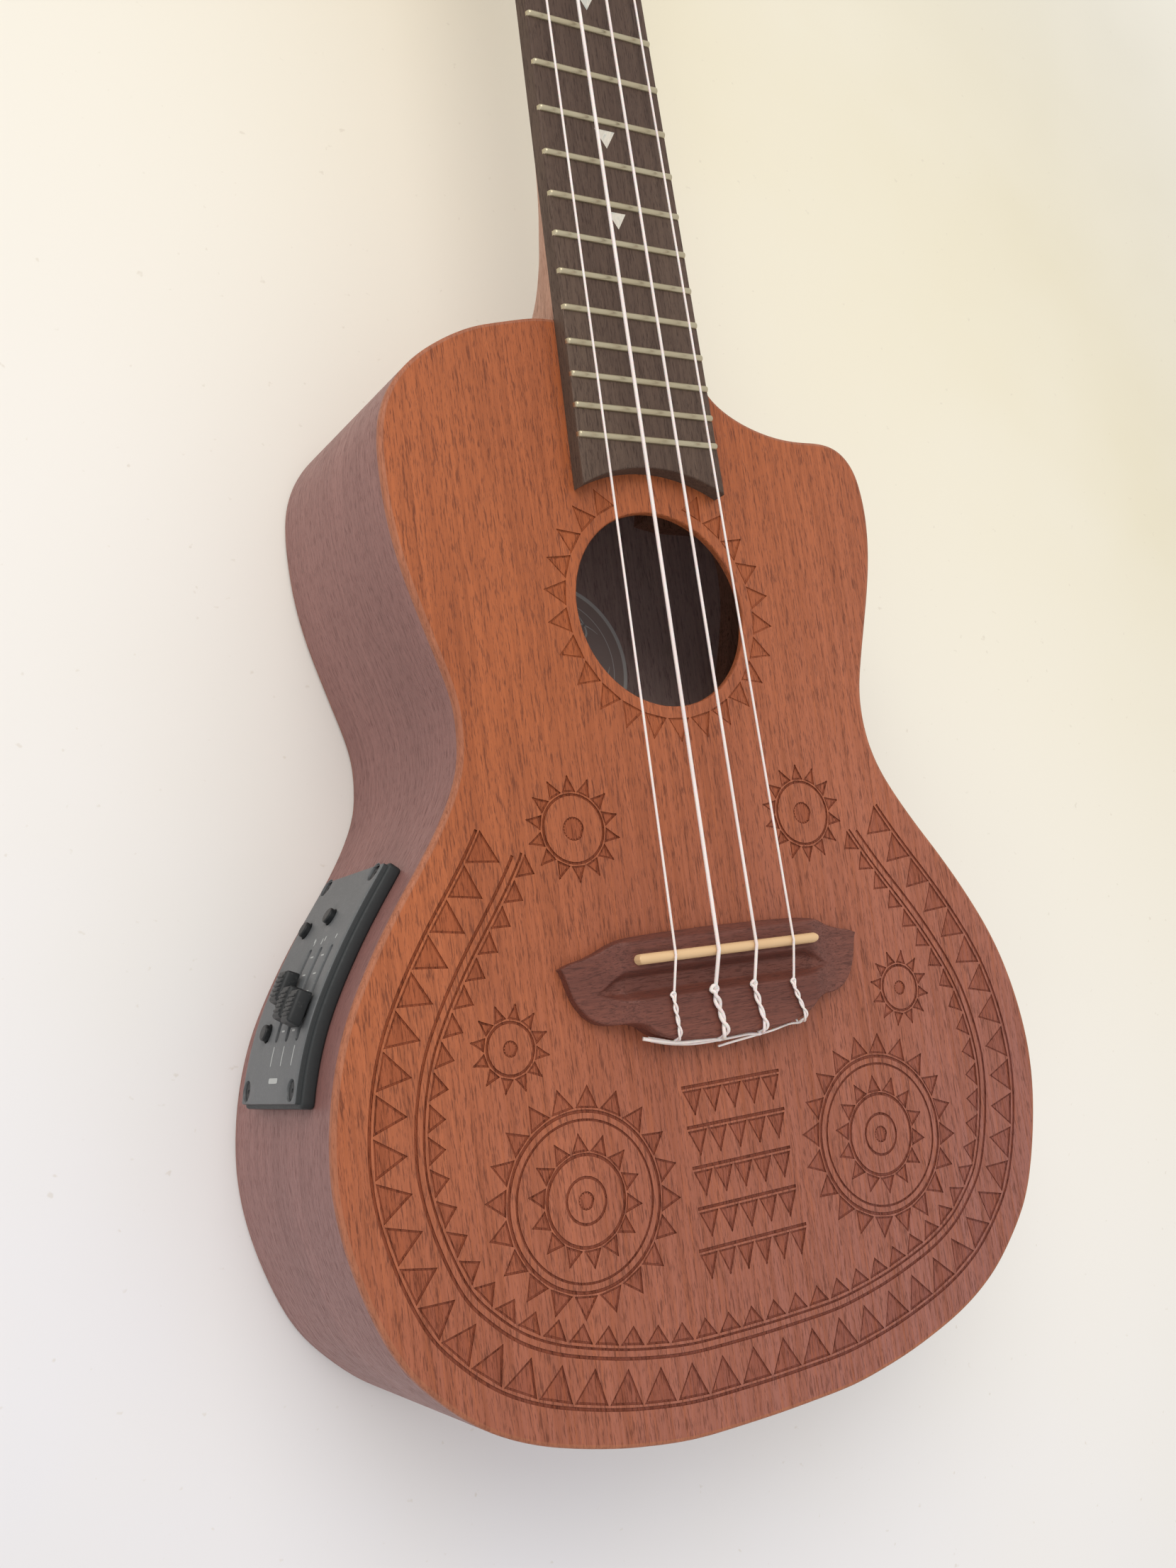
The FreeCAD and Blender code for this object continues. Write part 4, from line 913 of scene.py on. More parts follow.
# ------------------------------------------------------------------ soundboard
top_v, top_f, top_i = plate(
    rim, [hole], round_profile(0.9, TOP - 2.0, TOP, 5),
    [[(0.0, TOP - 2.0), (0.0, TOP - 0.6)] + [(0.6 * (1 - math.cos(a)), TOP - 0.6 + 0.6 * math.sin(a)) for a in (0.5, 1.0, math.pi / 2)]
     + [(0.72, TOP)]], motifs=MOTIFS, rim_idx=3)
soundboard = new_piece("soundboard_etched", top_v, top_f, [M["top"], M["etched"], M["groove"], M["top_edge"]], "root",
                       idx=top_i, replaces=("soundboard",), angle=30)
print("soundboard faces", len(top_f), "motifs", len(MOTIFS))

# ------------------------------------------------------------------ back plate
v, f, i = plate(rim, [], round_profile(0.0, 0.0, 2.0, 1, rb=1.5, segs_b=5))
i = [1 if min(v[k][2] for k in q) > 1.99 else 0 for q in f]
new_piece("back_plate_rounded", v, f, [M["back"], M["back_inner"]], "root", idx=i, replaces=("back_plate",), angle=30)

# ------------------------------------------------------------------ sides
PRE_T0, PRE_T1, PRE_Z0, PRE_Z1, PRE_PROUD = 165.4, 225.2, 17.6, 56.7, 4.6
pre_c = np.array([-95.22640425843882, 3.1970510970681105])
sT = np.array([0.47475941720480425, 0.880115615004844])
sN = np.array([-0.880115615004844, 0.47475941720480425])


def side_wall(name, line, s_lines, z_lines, window, node):
    """A bent wall 1.8 mm thick along an outline, with an optional window in it."""
    d = np.concatenate([[0], np.cumsum(np.linalg.norm(np.diff(line, axis=0), axis=1))])
    verts, faces, uv = [], [], []
    ns, nz = len(s_lines), len(z_lines)
    T = []
    for s in s_lines:
        a = np.array([np.interp(s - 1.6, d, line[:, 0]), np.interp(s - 1.6, d, line[:, 1])])
        b = np.array([np.interp(s + 1.6, d, line[:, 0]), np.interp(s + 1.6, d, line[:, 1])])
        T.append((b - a) / np.linalg.norm(b - a))
    sign = 1 if area2(np.vstack([line, [0, 0]])) > 0 else -1      # inward normal
    for off in (0.0, 1.8):
        for k, s in enumerate(s_lines):
            p = np.array([np.interp(s, d, line[:, 0]), np.interp(s, d, line[:, 1])]) + sign * off * np.array([-T[k][1], T[k][0]])
            for z in z_lines:
                verts.append((p[0], p[1], z))
                uv.append((s * MM, z * MM))
    def vid(layer, a, b):
        return layer * ns * nz + a * nz + b
    solid = {}
    for a in range(ns - 1):
        for b in range(nz - 1):
            sm, zm = (s_lines[a] + s_lines[a + 1]) / 2, (z_lines[b] + z_lines[b + 1]) / 2
            solid[(a, b)] = not (window and window[0] < sm < window[1] and window[2] < zm < window[3])
    def quad(*q):
        faces.append(q if sign < 0 else q[::-1])
    for (a, b), on in solid.items():
        if not on:
            continue
        quad(vid(0, a, b), vid(0, a, b + 1), vid(0, a + 1, b + 1), vid(0, a + 1, b))
        quad(vid(1, a, b), vid(1, a + 1, b), vid(1, a + 1, b + 1), vid(1, a, b + 1))
        if not solid.get((a - 1, b), False):
            quad(vid(0, a, b), vid(1, a, b), vid(1, a, b + 1), vid(0, a, b + 1))
        if not solid.get((a + 1, b), False):
            quad(vid(0, a + 1, b), vid(0, a + 1, b + 1), vid(1, a + 1, b + 1), vid(1, a + 1, b))
        if not solid.get((a, b - 1), False):
            quad(vid(0, a, b), vid(0, a + 1, b), vid(1, a + 1, b), vid(1, a, b))
        if not solid.get((a, b + 1), False):
            quad(vid(0, a, b + 1), vid(1, a, b + 1), vid(1, a + 1, b + 1), vid(0, a + 1, b + 1))
    bm = bmesh.new()
    vs = [bm.verts.new((x * MM, y * MM, z * MM)) for x, y, z in verts]
    uvl = bm.loops.layers.uv.new("UVMap")
    for q in faces:
        fc = bm.faces.new([vs[k] for k in q])
        for lp, k in zip(fc.loops, q):
            lp[uvl].uv = uv[k]
    for k in [k for k in vs if not k.link_faces]:
        bm.verts.remove(k)
    bmesh.ops.recalc_face_normals(bm, faces=bm.faces)
    me = bpy.data.meshes.new(name)
    bm.to_mesh(me)
    bm.free()
    me.materials.append(M["side"])
    me.shade_smooth()
    me.set_sharp_from_angle(angle=math.radians(30))
    o = bpy.data.objects.new(name, me)
    scene.collection.objects.link(o)
    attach(o, "root")
    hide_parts(node)
    return o


total = bass_s[-1]
end_b = float(bass_s[int(np.argmin(np.hypot(bass_line[:, 0] + 22, bass_line[:, 1] - 168.6)))])
end_t = float(bass_s[int(np.argmin(np.hypot(bass_line[:, 0] - 22.6, bass_line[:, 1] - 168.6)))])
end_tail = float(bass_s[-1] + np.linalg.norm(bass_line[-1] - bass_line[0]))
line_closed = np.vstack([bass_line, bass_line[:1]])
u_of = lambda t: float(np.dot(bass_at(t)[0] - pre_c, sT))
ts = np.linspace(PRE_T0 - 6, PRE_T1 + 6, 400)
us = np.array([u_of(t) for t in ts])
w_s0, w_s1 = float(np.interp(-24.5, us, ts)), float(np.interp(24.5, us, ts))
grid_b = sorted(set(np.round(np.concatenate([np.arange(0, end_t, 1.5), [w_s0, w_s1, end_t]]), 4)))
grid_b = [s for s in grid_b if min(abs(s - w_s0), abs(s - w_s1)) > 0.5 or s in (round(w_s0, 4), round(w_s1, 4))]
side_wall("side_bass_bent", line_closed, grid_b, [2.0, 12.0, 22.0, 37.3, 52.6, 60.0, 66.0], (w_s0, w_s1, 22.0, 52.6), "side_bass")
grid_t = list(np.linspace(end_t + 0.02, end_tail, 300))
side_wall("side_treble_bent", line_closed, grid_t, [2.0, 12.0, 22.0, 37.3, 52.6, 60.0, 66.0], None, "side_treble")

# ------------------------------------------------------------------ neck and headstock
SCALE, NUT_T, TILT = 381.0, 5.0, math.radians(13)


def head_pt(x, u, w):
    return (x, SCALE + NUT_T + u * math.cos(TILT) + w * math.sin(TILT), TOP - u * math.sin(TILT) + w * math.cos(TILT))


def hw(y):
    return 17.5 + 0.0198 * (SCALE - y)


SECT = [(168.65, 60, 0.48, 10), (171, 54.8, 0.48, 8), (174.5, 46.6, 0.47, 5.5), (178.5, 38, 0.44, 4.2), (183, 30.8, 0.39, 3.4),
        (188.5, 25.2, 0.35, 3.0), (195, 21.8, 0.35, 2.8), (203, 19, 0.40, 2.8), (214, 17, 0.47, 2.8), (235, 15, 0.58, 2.8),
        (280, 14, 0.60, 2.8), (330, 13.5, 0.60, 2.8), (366, 13.3, 0.56, 2.8), (376, 13.8, 0.34, 2.5), (382, 14.8, 0.10, 2.3),
        (386, 15.3, 0, 2.2)]
RUN = [(386, 17.25, 15.3, 2.2), (390, 18.35, 15.35, 2.6), (395, 20.55, 15.0, 3.6), (400, 23.35, 14.5, 5.5),
       (405.5, 25.75, 14.05, 9), (412, 27.05, 13.84, 14)]


def half_ring(w, d, k, m_, n=26):
    """Right half of a section, from the top edge down to the middle, evenly spaced along it."""
    t = np.linspace(0, math.pi / 2, 240)
    s = np.sin(t)
    x = w * (1 - k * s) * np.sqrt(np.clip(1 - s ** m_, 0, 1))
    P = np.stack([x, -d * s], 1)
    P[-1, 0] = 0.0
    return resample(P, count=n)


soup = Soup()
ys = np.concatenate([np.linspace(168.65, 200, 44), np.linspace(201, 384, 70), np.linspace(385, 386, 2)])
rings = []
sy = [s[0] for s in SECT]
for y in ys:
    d, k, m_ = (float(pchip(sy, [s[j] for s in SECT], y)[0]) for j in (1, 2, 3))
    P = half_ring(hw(y) - 0.15, d, k, m_)
    rings.append([(x, y, TOP + z) for x, z in P] + [(-x, y, TOP + z) for x, z in P[-2::-1]])
ry = [s[0] for s in RUN]
for y in np.linspace(386.6, 412, 34):
    w, d, m_ = (float(pchip(ry, [s[j] for s in RUN], y)[0]) for j in (1, 2, 3))
    P = half_ring(w, d, 0, m_)
    t = TOP - (y - 386) * math.tan(TILT) - 0.02
    rings.append([(x, y, t + z) for x, z in P] + [(-x, y, t + z) for x, z in P[-2::-1]])
nr = len(rings[0])
v = [p for r in rings for p in r]
f = []
for a in range(len(rings) - 1):
    for b in range(nr):
        c = (b + 1) % nr
        f.append((a * nr + b, (a + 1) * nr + b, (a + 1) * nr + c, a * nr + c))
f.append(tuple(range(nr)))
f.append(tuple((len(rings) - 1) * nr + b for b in range(nr - 1, -1, -1)))
soup.add(v, f)
HEAD = [(17.4, -9), (17.5, -2), (18.6, 4), (21.6, 11), (25.2, 18), (27.2, 27), (28.2, 42), (29.6, 62), (31.2, 84),
        (32.4, 104), (32.8, 118), (31.0, 126), (24.5, 130.5), (12, 134), (0, 138.5)]
hs = spline_pts(HEAD[:-1] + [(1.2, 137.9)], 1.0)


def head_outline(u0, grow=0.0):
    P = hs[hs[:, 1] >= u0]
    P = np.vstack([P, [[0.0, 138.5]]])
    P = np.vstack([P, np.stack([-P[-2::-1, 0], P[-2::-1, 1]], 1)])
    return ccw(P)


v, f, i = plate(head_outline(22.5), [], round_profile(0.25, -13.5, 0.0, 2, rb=0.85, segs_b=4), fn=head_pt)
soup.add(v, f)
new_piece("neck_carved", soup.v, soup.f, M["neck"], "root", replaces=("neck",), angle=42)
v, f, i = plate(head_outline(0.95), [], round_profile(0.5, 0.05, 1.2, 3), fn=head_pt)
new_piece("headstock_veneer_edged", v, f, M["veneer"], "root", replaces=("headstock_veneer",), angle=42)

# ------------------------------------------------------------------ fretboard, frets, inlays, nut
FT = TOP + 4.9
arc = []
a1 = math.asin(min(1.0, hw(120) / 46.5))
xs_ = np.linspace(-1, 1, 61)
for q in xs_:
    x = q * hw(122.0)
    arc.append((x, 80.5 + math.sqrt(46.5 ** 2 - x ** 2)))
edge_y = np.linspace(arc[-1][1] + 2, SCALE - 0.05, 130)
fb_out = arc + [(hw(y), y) for y in edge_y] + [(x, SCALE - 0.05) for x in np.linspace(hw(SCALE), -hw(SCALE), 12)[1:-1]] \
    + [(-hw(y), y) for y in edge_y[::-1]]
v, f, i = plate(np.array(fb_out), [], round_profile(0.45, TOP + 0.02, FT, 4))
new_piece("fretboard_shaped", v, f, M["rosewood"], "root", replaces=("fretboard",), angle=40)
soup = Soup()
fret_y = [SCALE * 2 ** (-n / 12) for n in range(1, 19)]
for y in fret_y:
    h = hw(y) + 0.05
    v, f = [], []
    xs = np.concatenate([-h + 0.9 * (1 - np.cos(np.linspace(0, math.pi / 2, 6))), np.linspace(-h + 2.0, h - 2.0, 14),
                         h - 0.9 * (1 - np.cos(np.linspace(math.pi / 2, 0, 6)))])
    prof = [(math.cos(t), math.sin(t)) for t in np.linspace(0, math.pi, 11)]
    for x in xs:
        e = min(1.0, (h - abs(x)) / 0.9)
        k = max(0.12, math.sqrt(max(0.0, 1 - (1 - e) ** 2)))
        z0 = FT - 0.05 - 0.55 * sstep((abs(x) - (hw(y) - 0.55)) / 0.5)
        for a, b in prof:
            v.append((x, y + 0.95 * a * (0.55 + 0.45 * k), z0 + (FT + 0.95 - z0) * b * k))
    np_ = len(prof)
    for a in range(len(xs) - 1):
        for b in range(np_ - 1):
            f.append((a * np_ + b, (a + 1) * np_ + b, (a + 1) * np_ + b + 1, a * np_ + b + 1))
        f.append((a * np_ + np_ - 1, (a + 1) * np_ + np_ - 1, (a + 1) * np_, a * np_))
    f.append(tuple(range(np_)))
    f.append(tuple((len(xs) - 1) * np_ + b for b in range(np_ - 1, -1, -1)))
    soup.add(v, f)
new_piece("frets_crowned", soup.v, soup.f, M["fret"], "root", replaces=("frets",), angle=50)
soup = Soup()
for n, size in ((5, 1.12), (7, 1.06), (10, 1.0), (12, 0.9)):
    yc = (fret_y[n - 1] + fret_y[n - 2]) / 2 + 1.1
    v, f, i = plate(np.array([(-3.3 * size, yc + 2.7 * size), (0, yc - 2.7 * size), (3.3 * size, yc + 2.7 * size)]), [],
                    [(0.0, FT - 0.8), (0.0, FT + 0.01), (0.08, FT + 0.05), (0.16, FT + 0.05)])
    soup.add(v, f)
new_piece("inlays", soup.v, soup.f, M["pearl"], "root", replaces=("fret_markers",), angle=30)
soft_copy("nut", "nut_slotted", 0.22, M["bone"], segs=2)
soft_copy("saddle", "saddle_crowned", 0.3, M["bone"], segs=3, angle=40)

# ------------------------------------------------------------------ bridge
BR_UP = [(46.7, -0.8), (44, 0.2), (40, 1.0), (36, 2.2), (32.5, 3.6), (28, 4.7), (20, 5.2), (10, 5.4), (0, 5.5)]
BR_LO = [(46.7, -0.8), (45.9, -2.4), (45.1, -5.4), (43.7, -9.2), (41.3, -12.6), (38.3, -14.8), (34.6, -15.7),
         (30.4, -15.9), (27.4, -16.7), (24.8, -18.6), (21.6, -20.3), (17, -21.5), (9, -22.3), (0, -22.5)]
up = spline_pts(BR_UP, 0.2)
lo = spline_pts(BR_LO, 0.2)
xg = np.concatenate([46.7 - 4.0 * (1 - np.cos(np.linspace(0, math.pi / 2, 16)))[::-1][::-1], np.linspace(42.6, 0, 150)])
xg = np.unique(np.round(np.clip(xg, 0, 46.64), 4))[::-1]
yu = np.interp(xg[::-1], up[::-1, 0], up[::-1, 1])[::-1]
lx, ly = lo[:, 0], lo[:, 1]
order = np.argsort(lx)
yl = np.interp(xg[::-1], lx[order], ly[order])[::-1]
NV = 74


def bridge_height(x, y, dist):
    ax = abs(x)
    W = float(pchip([0, 26, 28, 30, 33, 38, 43, 47], [7.4, 7.4, 6.9, 5.9, 4.45, 3.3, 2.8, 2.6], ax)[0])
    if y > -3.6:
        Pn = float(pchip([-3.6, 2.6, 3.4, 5.0, 6.5], [6.4, 6.4, 6.0, 3.4, 1.6], y)[0])
    else:
        Pn = float(pchip([-24, -22.8, -21.6, -19.6, -18, -10.9, -10.3, -3.6], [4.6, 5.9, 6.75, 7.35, 7.4, 7.4, 7.35, 6.4], y)[0])
    a = min(W, Pn)
    a -= 0.35 * math.exp(-abs(W - Pn) / 0.35)
    # the channel, which runs out to a point on both wings
    left, right = 39.5, 34.6
    lim = left if x < 0 else right
    c = float(sstep((lim - ax) / 10.5)) if ax > lim - 10.5 else 1.0
    if ax > lim:
        c = 0.0
    yc = -6.9 - 1.2 * (1 - c)
    hwid = 0.25 + 3.55 * c
    t = (y - yc) / hwid
    depth = (a - 3.2) * c if ax < 30 else min(a - 1.4, 3.0) * c ** 0.8
    if abs(t) < 1.12:
        s = 1 - float(sstep((abs(t) - 0.42) / 0.66)) if t > 0 else 1 - float(sstep((abs(t) - 0.34) / 0.74))
        a -= max(0.0, depth) * s
    R = 0.7
    if dist < R:
        a -= R - math.sqrt(max(0.0, R * R - (R - dist) ** 2))
    return max(a, 0.9)


v, f = [], []
cols = []
full = [(-x, a, b) for x, a, b in zip(xg, yl, yu)] + [(x, a, b) for x, a, b in zip(xg[::-1][1:], yl[::-1][1:], yu[::-1][1:])]
edge_pts = np.array([(x, b) for x, a, b in full] + [(x, a) for x, a, b in full[::-1]])
from mathutils.kdtree import KDTree
dense_edge = resample(np.vstack([edge_pts, edge_pts[:1]]), 0.15)
kd = KDTree(len(dense_edge))
for q, p in enumerate(dense_edge):
    kd.insert((p[0], p[1], 0), q)
kd.balance()
par = 0.5 - 0.5 * np.cos(np.pi * np.linspace(0, 1, NV))
par = 0.72 * np.linspace(0, 1, NV) + 0.28 * par
for x, a, b in full:
    col = []
    for k, q in enumerate(par):
        y = a + (b - a) * q
        dd = kd.find((x, y, 0))[2]
        if k in (0, NV - 1):
            dd = 0.0
        col.append(len(v))
        v.append((x, y, TOP + bridge_height(x, y, dd)))
    cols.append(col)
nc = len(cols)
for a in range(nc - 1):
    for b in range(NV - 1):
        f.append((cols[a][b], cols[a + 1][b], cols[a + 1][b + 1], cols[a][b + 1]))
border = [cols[a][0] for a in range(nc)] + [cols[-1][b] for b in range(1, NV)] + [cols[a][NV - 1] for a in range(nc - 2, -1, -1)] \
    + [cols[0][b] for b in range(NV - 2, 0, -1)]
base = []
for k in border:
    base.append(len(v))
    v.append((v[k][0], v[k][1], TOP + 0.01))
for a in range(len(border)):
    b = (a + 1) % len(border)
    f.append((border[a], base[a], base[b], border[b]))
f.append(tuple(base[::-1]))
bridge = new_piece("bridge_carved", v, f, M["rosewood_x"], "root", replaces=("bridge",), angle=40)
print("bridge faces", len(f))

# ------------------------------------------------------------------ strings
STR = [("g", -17.9, -13.2, 0.33), ("c", -4.9, -4.4, 0.52), ("e", 7.1, 4.4, 0.42), ("a", 19.3, 13.2, 0.33)]
KNOT = {"g": (-19.2, -11.5), "c": (-6.9, -11.7), "e": (5.6, -11.7), "a": (18.4, -12.4)}
REAR = {"g": (-18.7, -21.3), "c": (-5.1, -22.3), "e": (7.6, -22.6), "a": (21.0, -21.6)}
POSTS = {"g": (-19.0, 38.0), "c": (-19.0, 88.0), "e": (19.0, 88.0), "a": (19.0, 38.0)}
WAIST = 2.55
tails = {
    "g": [(-20.6, -21.3, 4.8), (-23.2, -20.5, 4.2), (-25.4, -19.9, 3.4)],
    "c": [(-7.4, -22.6, 4.6), (-12.0, -22.4, 4.9), (-17.5, -22.1, 5.0), (-22.5, -21.1, 4.4), (-26.8, -19.9, 3.2)],
    "e": [(5.2, -22.9, 4.1), (-0.4, -23.0, 3.9), (-6.6, -23.1, 3.9), (-13.6, -22.9, 4.0), (-19.6, -22.0, 3.7), (-24.2, -20.7, 2.6)],
    "a": [(18.2, -22.0, 4.3), (11.5, -22.9, 4.9), (5.4, -23.6, 4.0), (-0.6, -24.2, 3.4), (-4.2, -24.7, 2.4)],
}
for n, xs, xn, r in STR:
    k, e = KNOT[n], REAR[n]
    sx, su = POSTS[n]
    s = -1 if sx < 0 else 1
    soup = Soup()
    end = head_pt(sx - s * (WAIST + r + 0.02), su, 5.3)
    nutp = (xn, SCALE + 1.8, 74.3 + r)
    sad = (xs, -0.9, 77.0 + r + 0.02)
    # speaking length, straight from saddle to nut, then to its post
    a = Vector(nutp)
    d1 = (Vector(sad) - a).normalized()
    d2 = (Vector(end) - a).normalized()
    bend = [tuple(a + d1 * q * 1.0) for q in (3.0, 2.0, 1.0, 0.4)] + [tuple(a + d2 * q) for q in (0.4, 1.0, 2.0, 3.0)]
    kn = (k[0], k[1], TOP + 7.4 + r)
    dive = (k[0] + 0.05, k[1] + 0.75, TOP + 6.1)
    hole_in = (k[0] + 0.1, k[1] + 0.35, TOP + 4.2)
    b = Vector(sad)
    e1 = (Vector(kn) - b).normalized()
    e2 = (a - b).normalized()
    bend2 = [tuple(b + e2 * q + Vector((0, 0, -0.02 * q))) for q in (1.6, 0.8)] + [tuple(b + Vector((0, 0, 0.03)))] \
        + [tuple(b + e1 * q) for q in (0.8, 1.6)]
    path = [end] + bend[::-1] + bend2 + [tuple(b + e1 * (Vector(kn) - b).length * 0.8), (kn[0], kn[1] + 0.55, kn[2] - 0.25), dive, hole_in]
    soup.add(*sweep(path, r, 12))
    # the string comes back over the tie block, round itself, and down again: two twisted strands
    A, B = np.array([k[0], k[1] - 0.2, TOP + 7.4 + r * 1.15]), np.array([e[0], e[1] + 1.5, TOP + 7.2 + r * 1.1])
    C = np.array([e[0], e[1], TOP + 5.2])
    core = spline_pts([A, A + (B - A) * 0.33, A + (B - A) * 0.7, B, (B + C) / 2 + np.array([0, -0.4, 0.45]), C], 0.25)
    L = len(core)
    T = np.gradient(core, axis=0)
    T /= np.linalg.norm(T, axis=1)[:, None]
    X = np.cross(T, np.array([0, 0, 1.0]))
    X /= np.linalg.norm(X, axis=1)[:, None]
    U = np.cross(X, T)
    turns = 1.75 if n in "ce" else 2.0
    ph0 = {"g": 0.4, "c": 1.1, "e": 0.7, "a": 0.2}[n]
    q = np.linspace(0, 1, L)
    amp = r * (1.02 + 0.22 * np.sin(q * 9 + ph0))
    amp *= sstep(q / 0.06) * 0.25 + 0.75
    strands = []
    for ph in (0, math.pi):
        ang = ph + ph0 + turns * 2 * math.pi * q
        off = X * (np.cos(ang) * amp)[:, None] + U * (np.sin(ang) * amp * 0.62 + r * 0.42)[:, None]
        strands.append(core + off)
    # the turn round the main string at the front edge of the block
    s0, s1 = strands[0][0], strands[1][0]
    mid = np.array([k[0], k[1] + 0.9, TOP + 7.4 + r * 1.2])
    loop = [s0, s0 + np.array([-0.5 * r, 0.8, 0.1]), mid + np.array([-r * 1.9, 0.2, -0.1]), mid + np.array([-r * 0.9, r * 2.2, 0.15]),
            mid + np.array([r * 0.9, r * 2.2, 0.2]), mid + np.array([r * 1.9, 0.2, -0.05]), s1 + np.array([0.5 * r, 0.8, 0.0]), s1]
    if (s0[0] - s1[0]) > 0:
        s0, s1 = s1, s0
        strands = strands[::-1]
        loop = [s0, s0 + np.array([-0.5 * r, 0.8, 0.1]), mid + np.array([-r * 1.9, 0.2, -0.1]), mid + np.array([-r * 0.9, r * 2.2, 0.15]),
                mid + np.array([r * 0.9, r * 2.2, 0.2]), mid + np.array([r * 1.9, 0.2, -0.05]), s1 + np.array([0.5 * r, 0.8, 0.0]), s1]
    whole = np.vstack([strands[0][::-1], spline_pts(loop, 0.22)[1:-1], strands[1]])
    # one strand goes into the rear hole, the other runs on as the tail
    hole_y = e[1] + 1.4
    into = spline_pts([whole[0], whole[0] + np.array([0, -0.35, -0.45]), (e[0] * 0.5 + xs * 0.5, e[1] + 0.2, TOP + 4.55), (xs, hole_y + 0.9, TOP + 4.7)], 0.3)
    tail = spline_pts([whole[-1], whole[-1] + np.array([-0.4, -0.35, -0.35])] + [(x, y, TOP + z) for x, y, z in tails[n]], 0.35)
    wr = np.vstack([into[::-1][:-1], whole, tail[1:]])
    soup.add(*sweep(wr, r * 0.96, 10))
    new_piece("string_" + n + "_tied", soup.v, soup.f, M["nylon"], "root", replaces=("string_" + n,), angle=60)
    # windings on the post, with the cut end through it
    t = np.linspace(0, 3.15 * 2 * math.pi, 150)
    start = math.pi if s > 0 else 0.0
    R_ = WAIST + r + 0.02
    wv = [head_pt(sx + R_ * math.cos(start + q * -s), su + R_ * math.sin(start + q * -s), 5.3 - (2 * r + 0.03) * q / (2 * math.pi) * 0.62)
          for q in t]
    last = np.array([sx, su])
    q = t[-1]
    xe, ye = sx + R_ * math.cos(start - s * q), su + R_ * math.sin(start - s * q)
    we = 5.3 - (2 * r + 0.03) * q / (2 * math.pi) * 0.62
    wv += [head_pt(sx + (xe - sx) * 1.05, su + (ye - su) * 1.1 + 0.2, we - 0.1)]
    soup = Soup()
    soup.add(*sweep(wv, r, 10))
    stub = [head_pt(sx + 0.1 * i, su - 5.2 + i * 1.3, 5.4 + 0.12 * i * i * 0.4) for i in range(0, 3)]
    soup.add(*sweep([head_pt(sx, su - 2.2, 5.4), head_pt(sx, su - 3.4, 5.45), head_pt(sx + 0.2 * s, su - 4.6, 5.7), head_pt(sx + 0.5 * s, su - 5.6, 6.2)], r, 10))
    new_piece("winding_" + n, soup.v, soup.f, M["nylon"], "post_body_" + n, angle=60)

# ------------------------------------------------------------------ tuners
soft_copy("tuner_housings", "tuner_shells", 0.3, M["chrome"], segs=3, angle=40)
soft_copy("tuner_covers", "tuner_lids", 0.3, M["chrome"], segs=3, angle=40)
soft_copy("tuner_bushings", "tuner_hex_bushings", 0.22, M["chrome"], segs=3, angle=40)
soft_copy("tuner_screws", "tuner_fixing_screws", 0.12, M["steel"], segs=2, angle=40)
KX = [(32.4, 2.6, 2.4), (32.9, 3.5, 2.9), (34.2, 4.6, 3.3), (37.5, 6.9, 3.6), (41.5, 7.9, 3.7), (44.6, 7.0, 3.3), (45.5, 5.4, 2.6), (45.8, 3.6, 1.6)]
for n in "gcea":
    sx, su = POSTS[n]
    s = -1 if sx < 0 else 1
    soft_copy("post_" + n, "post_%s_turned" % n, 0.25, M["chrome"], segs=3, angle=40)
    soft_copy("worm_" + n, "worm_%s_turned" % n, 0.15, M["chrome"], segs=2, angle=40)
    xs = np.concatenate([32.4 + 0.6 * (1 - np.cos(np.linspace(0, math.pi / 2, 6))), np.linspace(33.2, 44.9, 22), 45.0 + 0.8 * np.sin(np.linspace(0.1, math.pi / 2, 6))])
    A = pchip([k[0] for k in KX], [k[1] for k in KX], xs)
    B = pchip([k[0] for k in KX], [k[2] for k in KX], xs)
    v, f = [], []
    nn = 36
    for x, a, b in zip(xs, A, B):
        for k in range(nn):
            t = 2 * math.pi * k / nn
            ca, sa = math.cos(t), math.sin(t)
            v.append(head_pt(s * x, su + 7.2 + a * math.copysign(abs(ca) ** 0.86, ca), -18.4 + b * math.copysign(abs(sa) ** 0.86, sa)))
    for a in range(len(xs) - 1):
        for b in range(nn):
            c = (b + 1) % nn
            q = (a * nn + b, (a + 1) * nn + b, (a + 1) * nn + c, a * nn + c)
            f.append(q if s < 0 else q[::-1])
    f.append(tuple(range(nn)) if s < 0 else tuple(range(nn - 1, -1, -1)))
    e = (len(xs) - 1) * nn
    f.append(tuple(e + b for b in range(nn - 1, -1, -1)) if s < 0 else tuple(e + b for b in range(nn)))
    new_piece("knob_%s_pearl" % n, v, f, M["pearl_knob"], "worm_body_" + n, replaces=("knob_" + n,), angle=50)

# ------------------------------------------------------------------ preamp
SLOT0, SLOT1 = 180.0, 202.8
SLOT_Z = (49.9, 42.9, 36.0)


def on_side(t, z, h):
    p, T, N = bass_at(t)
    return (p[0] + N[0] * h, p[1] + N[1] * h, z)


def flipped(v, f, i):
    return v, [q[::-1] for q in f], i


def circle(c, r, n=28):
    return [(c[0] + r * math.cos(2 * math.pi * k / n), c[1] + r * math.sin(2 * math.pi * k / n)) for k in range(n)]


def round_rect(x0, x1, y0, y1, r, step=1.0, segs=5):
    P = []
    for cx, cy, a in ((x1 - r, y0 + r, -90), (x1 - r, y1 - r, 0), (x0 + r, y1 - r, 90), (x0 + r, y0 + r, 180)):
        arc_ = [(cx + r * math.cos(math.radians(a + 90 * k / segs)), cy + r * math.sin(math.radians(a + 90 * k / segs)))
                for k in range(segs + 1)]
        if P:
            P += line_fill(P[-1], arc_[0], step)
        P += arc_
    return P + line_fill(P[-1], P[0], step)


